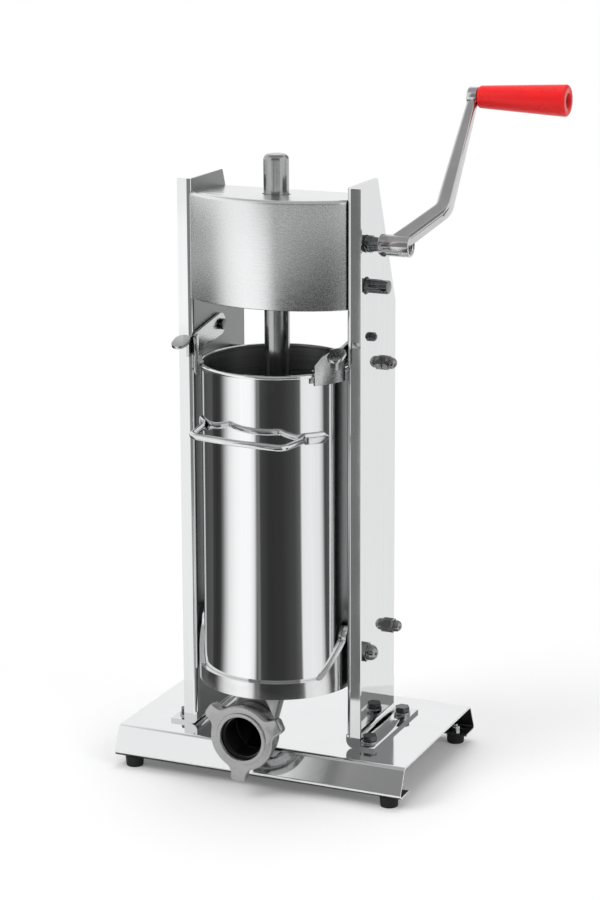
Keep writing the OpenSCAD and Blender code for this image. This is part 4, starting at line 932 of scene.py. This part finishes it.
class STUFFER_OT_crank(bpy.types.Operator):
    """Builds the crank arm with its hub and eye, and the turning grip on its pin"""

    bl_idname = "stuffer.crank"
    bl_label = "Crank and grip"

    def execute(self, context):
        self.arm(context.scene.stuffer_sizes)
        dress("crank_screw", FINE_EDGE)
        dress("grip_pin", CAST_EDGE)
        self.grip()
        return {"FINISHED"}

    def arm(self, sizes):
        """The forged arm: a tapering bar that bends from the hub on the shaft to the eye on the pin."""
        out = CRANK.normalized()
        beside = Vector((0, out.z, -out.y))
        eye_to = box_mm("crank_grip")[0].x - 0.6
        eye_from = eye_to - 9.6
        eye_mid = (eye_from + eye_to) / 2
        hub_from = box_mm("upper_shaft_rings")[1].x + 8.5
        hub_to = hub_from + 30.8
        bm = bmesh.new()
        self.bar(bm, out, beside, hub_from + 14.2, eye_mid, sizes.arm_edge / MM)
        hub_radius, hub_bore, hub_corner = 9.3, 7.02, 1.0
        lathe(bm, [(hub_bore, hub_from)]
              + arc((hub_radius, hub_from + hub_corner), hub_corner, -90, 0, 4)
              + arc((hub_radius, hub_to - hub_corner), hub_corner, 0, 90, 4)
              + [(hub_bore + 1.18, hub_to), (hub_bore + 0.68, hub_to - 0.9), (hub_bore, hub_to - 1.7)],
              SHAFT, (1, 0, 0), 64)
        eye_radius, eye_bore, eye_corner = 8.5, 4.02, 1.0
        lathe(bm, [(eye_bore, eye_from)]
              + arc((eye_radius, eye_from + eye_corner), eye_corner, -90, 0, 4)
              + arc((eye_radius, eye_to - eye_corner), eye_corner, 0, 90, 4) + [(eye_bore, eye_to)],
              SHAFT + CRANK, (1, 0, 0), 64)
        finish_piece("crank_arm_forged", bm, ["crank_arm"], "crank_plate", sharp=40.0)

    def bar(self, bm, out, beside, root_x, tip_x, corner):
        """Sweeps the bar: it slants out from the hub, turns at the elbow and runs straight to the eye.

        Places are (X, way out from the shaft), and each station has its half width and half depth.
        """
        root = Vector((root_x, 0.0))
        elbow = Vector((tip_x, CRANK.length / 4))
        tip = Vector((tip_x, CRANK.length - 6.0))
        straight = Vector((0.0, 1.0))
        slant = (elbow - root).normalized()
        bend = math.atan2(slant.x, slant.y)
        cut = 5.0
        turns = 8
        radius = cut / math.tan(bend / 2)
        centre = elbow - slant * cut + Vector((-slant.y, slant.x)) * radius
        stations = [(root, slant, 7.9, 7.6), (root + slant * 10, slant, 7.8, 7.5)]
        for i in range(turns + 1):
            angle = bend * (1 - i / turns)
            way = Vector((math.sin(angle), math.cos(angle)))
            stations.append((centre + Vector((way.y, -way.x)) * radius, way, 7.3, 7.1))
        stations += [(Vector((tip_x, 100.0)), straight, 6.3, 6.2), (tip, straight, 4.8, 5.0)]
        rings = []
        for place, way, half_width, half_depth in stations:
            point = SHAFT + Vector((place.x, 0, 0)) + out * place.y
            side = Vector((way.y, 0, 0)) - out * way.x
            rings.append(rounded_ring(bm, point, side, beside, half_width, half_depth, corner))
        sweep(bm, rings)

    def grip(self):
        """The moulded grip, which swells to its round end and has a recess for the pin's head."""
        low, high = box_mm("crank_grip")
        length = high.x - low.x
        bore, recess, recess_depth = 4.1, 7.25, 8.0
        neck, neck_corner = 8.1, 2.9
        end, end_corner = 12.5, 3.0
        outline = ([(bore, 0.0), (neck - 0.5, 0.0)] + arc((neck, neck_corner), neck_corner, -90, -2, 7)
                   + arc((end, length - end_corner), end_corner, 4, 90, 8)
                   + [(recess + 0.35, length), (recess, length - 0.4), (recess, length - recess_depth + 0.4),
                      (recess - 0.45, length - recess_depth), (bore, length - recess_depth)])
        bm = bmesh.new()
        lathe(bm, outline, SHAFT + CRANK + Vector((low.x, 0, 0)), (1, 0, 0))
        finish_piece("crank_grip_moulded", bm, ["crank_grip"], sharp=50.0)


class STUFFER_OT_levers(bpy.types.Operator):
    """Dresses the two retaining levers with their pivot screws and nuts"""

    bl_idname = "stuffer.levers"
    bl_label = "Retaining levers"

    def execute(self, context):
        self.lever("left_lever", -1)
        self.lever("right_lever", 1)
        dress("lever_screws", FINE_EDGE, look="dark_bolt")
        dress("lever_nuts", FINE_EDGE, look="dark_bolt")
        return {"FINISHED"}

    def lever(self, node, side):
        """A lever whose lip has its free upper corner cut off at a slope, with all edges rounded."""
        bm = copy_of(node)
        slope = Vector((-0.75 * side, -0.2, 0.63))
        corner = max(slope.dot(vert.co) for vert in bm.verts)
        cut_depth = 4.744
        cut_at = slope * ((corner - cut_depth) / slope.length_squared)
        cut = bmesh.ops.bisect_plane(bm, geom=bm.verts[:] + bm.edges[:] + bm.faces[:], dist=0.01,
                                     plane_co=cut_at, plane_no=slope, clear_outer=True)
        rim = [part for part in cut["geom_cut"] if isinstance(part, bmesh.types.BMEdge)]
        bmesh.ops.edgeloop_fill(bm, edges=rim)
        bmesh.ops.recalc_face_normals(bm, faces=bm.faces)
        if any(not line.is_manifold for line in bm.edges):
            raise RuntimeError(f"{node} is left open by the cut of its lip")
        finish_piece(node + "_trimmed", bm, [node], "lever_plate", LEVER_EDGE, 4)


STEPS = (
    STUFFER_OT_stage, STUFFER_OT_base, STUFFER_OT_uprights, STUFFER_OT_bars, STUFFER_OT_gearbox,
    STUFFER_OT_drive, STUFFER_OT_cylinder, STUFFER_OT_outlet, STUFFER_OT_cradle, STUFFER_OT_piston,
    STUFFER_OT_crank, STUFFER_OT_levers,
)


class STUFFER_PT_panel(bpy.types.Panel):
    """Lists the stuffer's sizes, colours and building steps"""

    bl_idname = "STUFFER_PT_panel"
    bl_label = "Sausage Stuffer"
    bl_space_type = "VIEW_3D"
    bl_region_type = "UI"
    bl_category = "Stuffer"

    def draw(self, context):
        for group in (context.scene.stuffer_sizes, context.scene.stuffer_colours):
            column = self.layout.column(align=True)
            for name in group.__annotations__:
                column.prop(group, name)
        column = self.layout.column(align=True)
        for step in STEPS:
            column.operator(step.bl_idname)


CLASSES = (StufferSizes, StufferColours, *STEPS, STUFFER_PT_panel)


def register():
    for made in CLASSES:
        bpy.utils.register_class(made)
    bpy.types.Scene.stuffer_sizes = PointerProperty(type=StufferSizes)
    bpy.types.Scene.stuffer_colours = PointerProperty(type=StufferColours)


def unregister():
    del bpy.types.Scene.stuffer_colours
    del bpy.types.Scene.stuffer_sizes
    for made in reversed(CLASSES):
        bpy.utils.unregister_class(made)


def main():
    """Registers the add-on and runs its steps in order."""
    register()
    for step in STEPS:
        group, name = step.bl_idname.split(".")
        getattr(getattr(bpy.ops, group), name)()


if __name__ == "__main__":
    main()
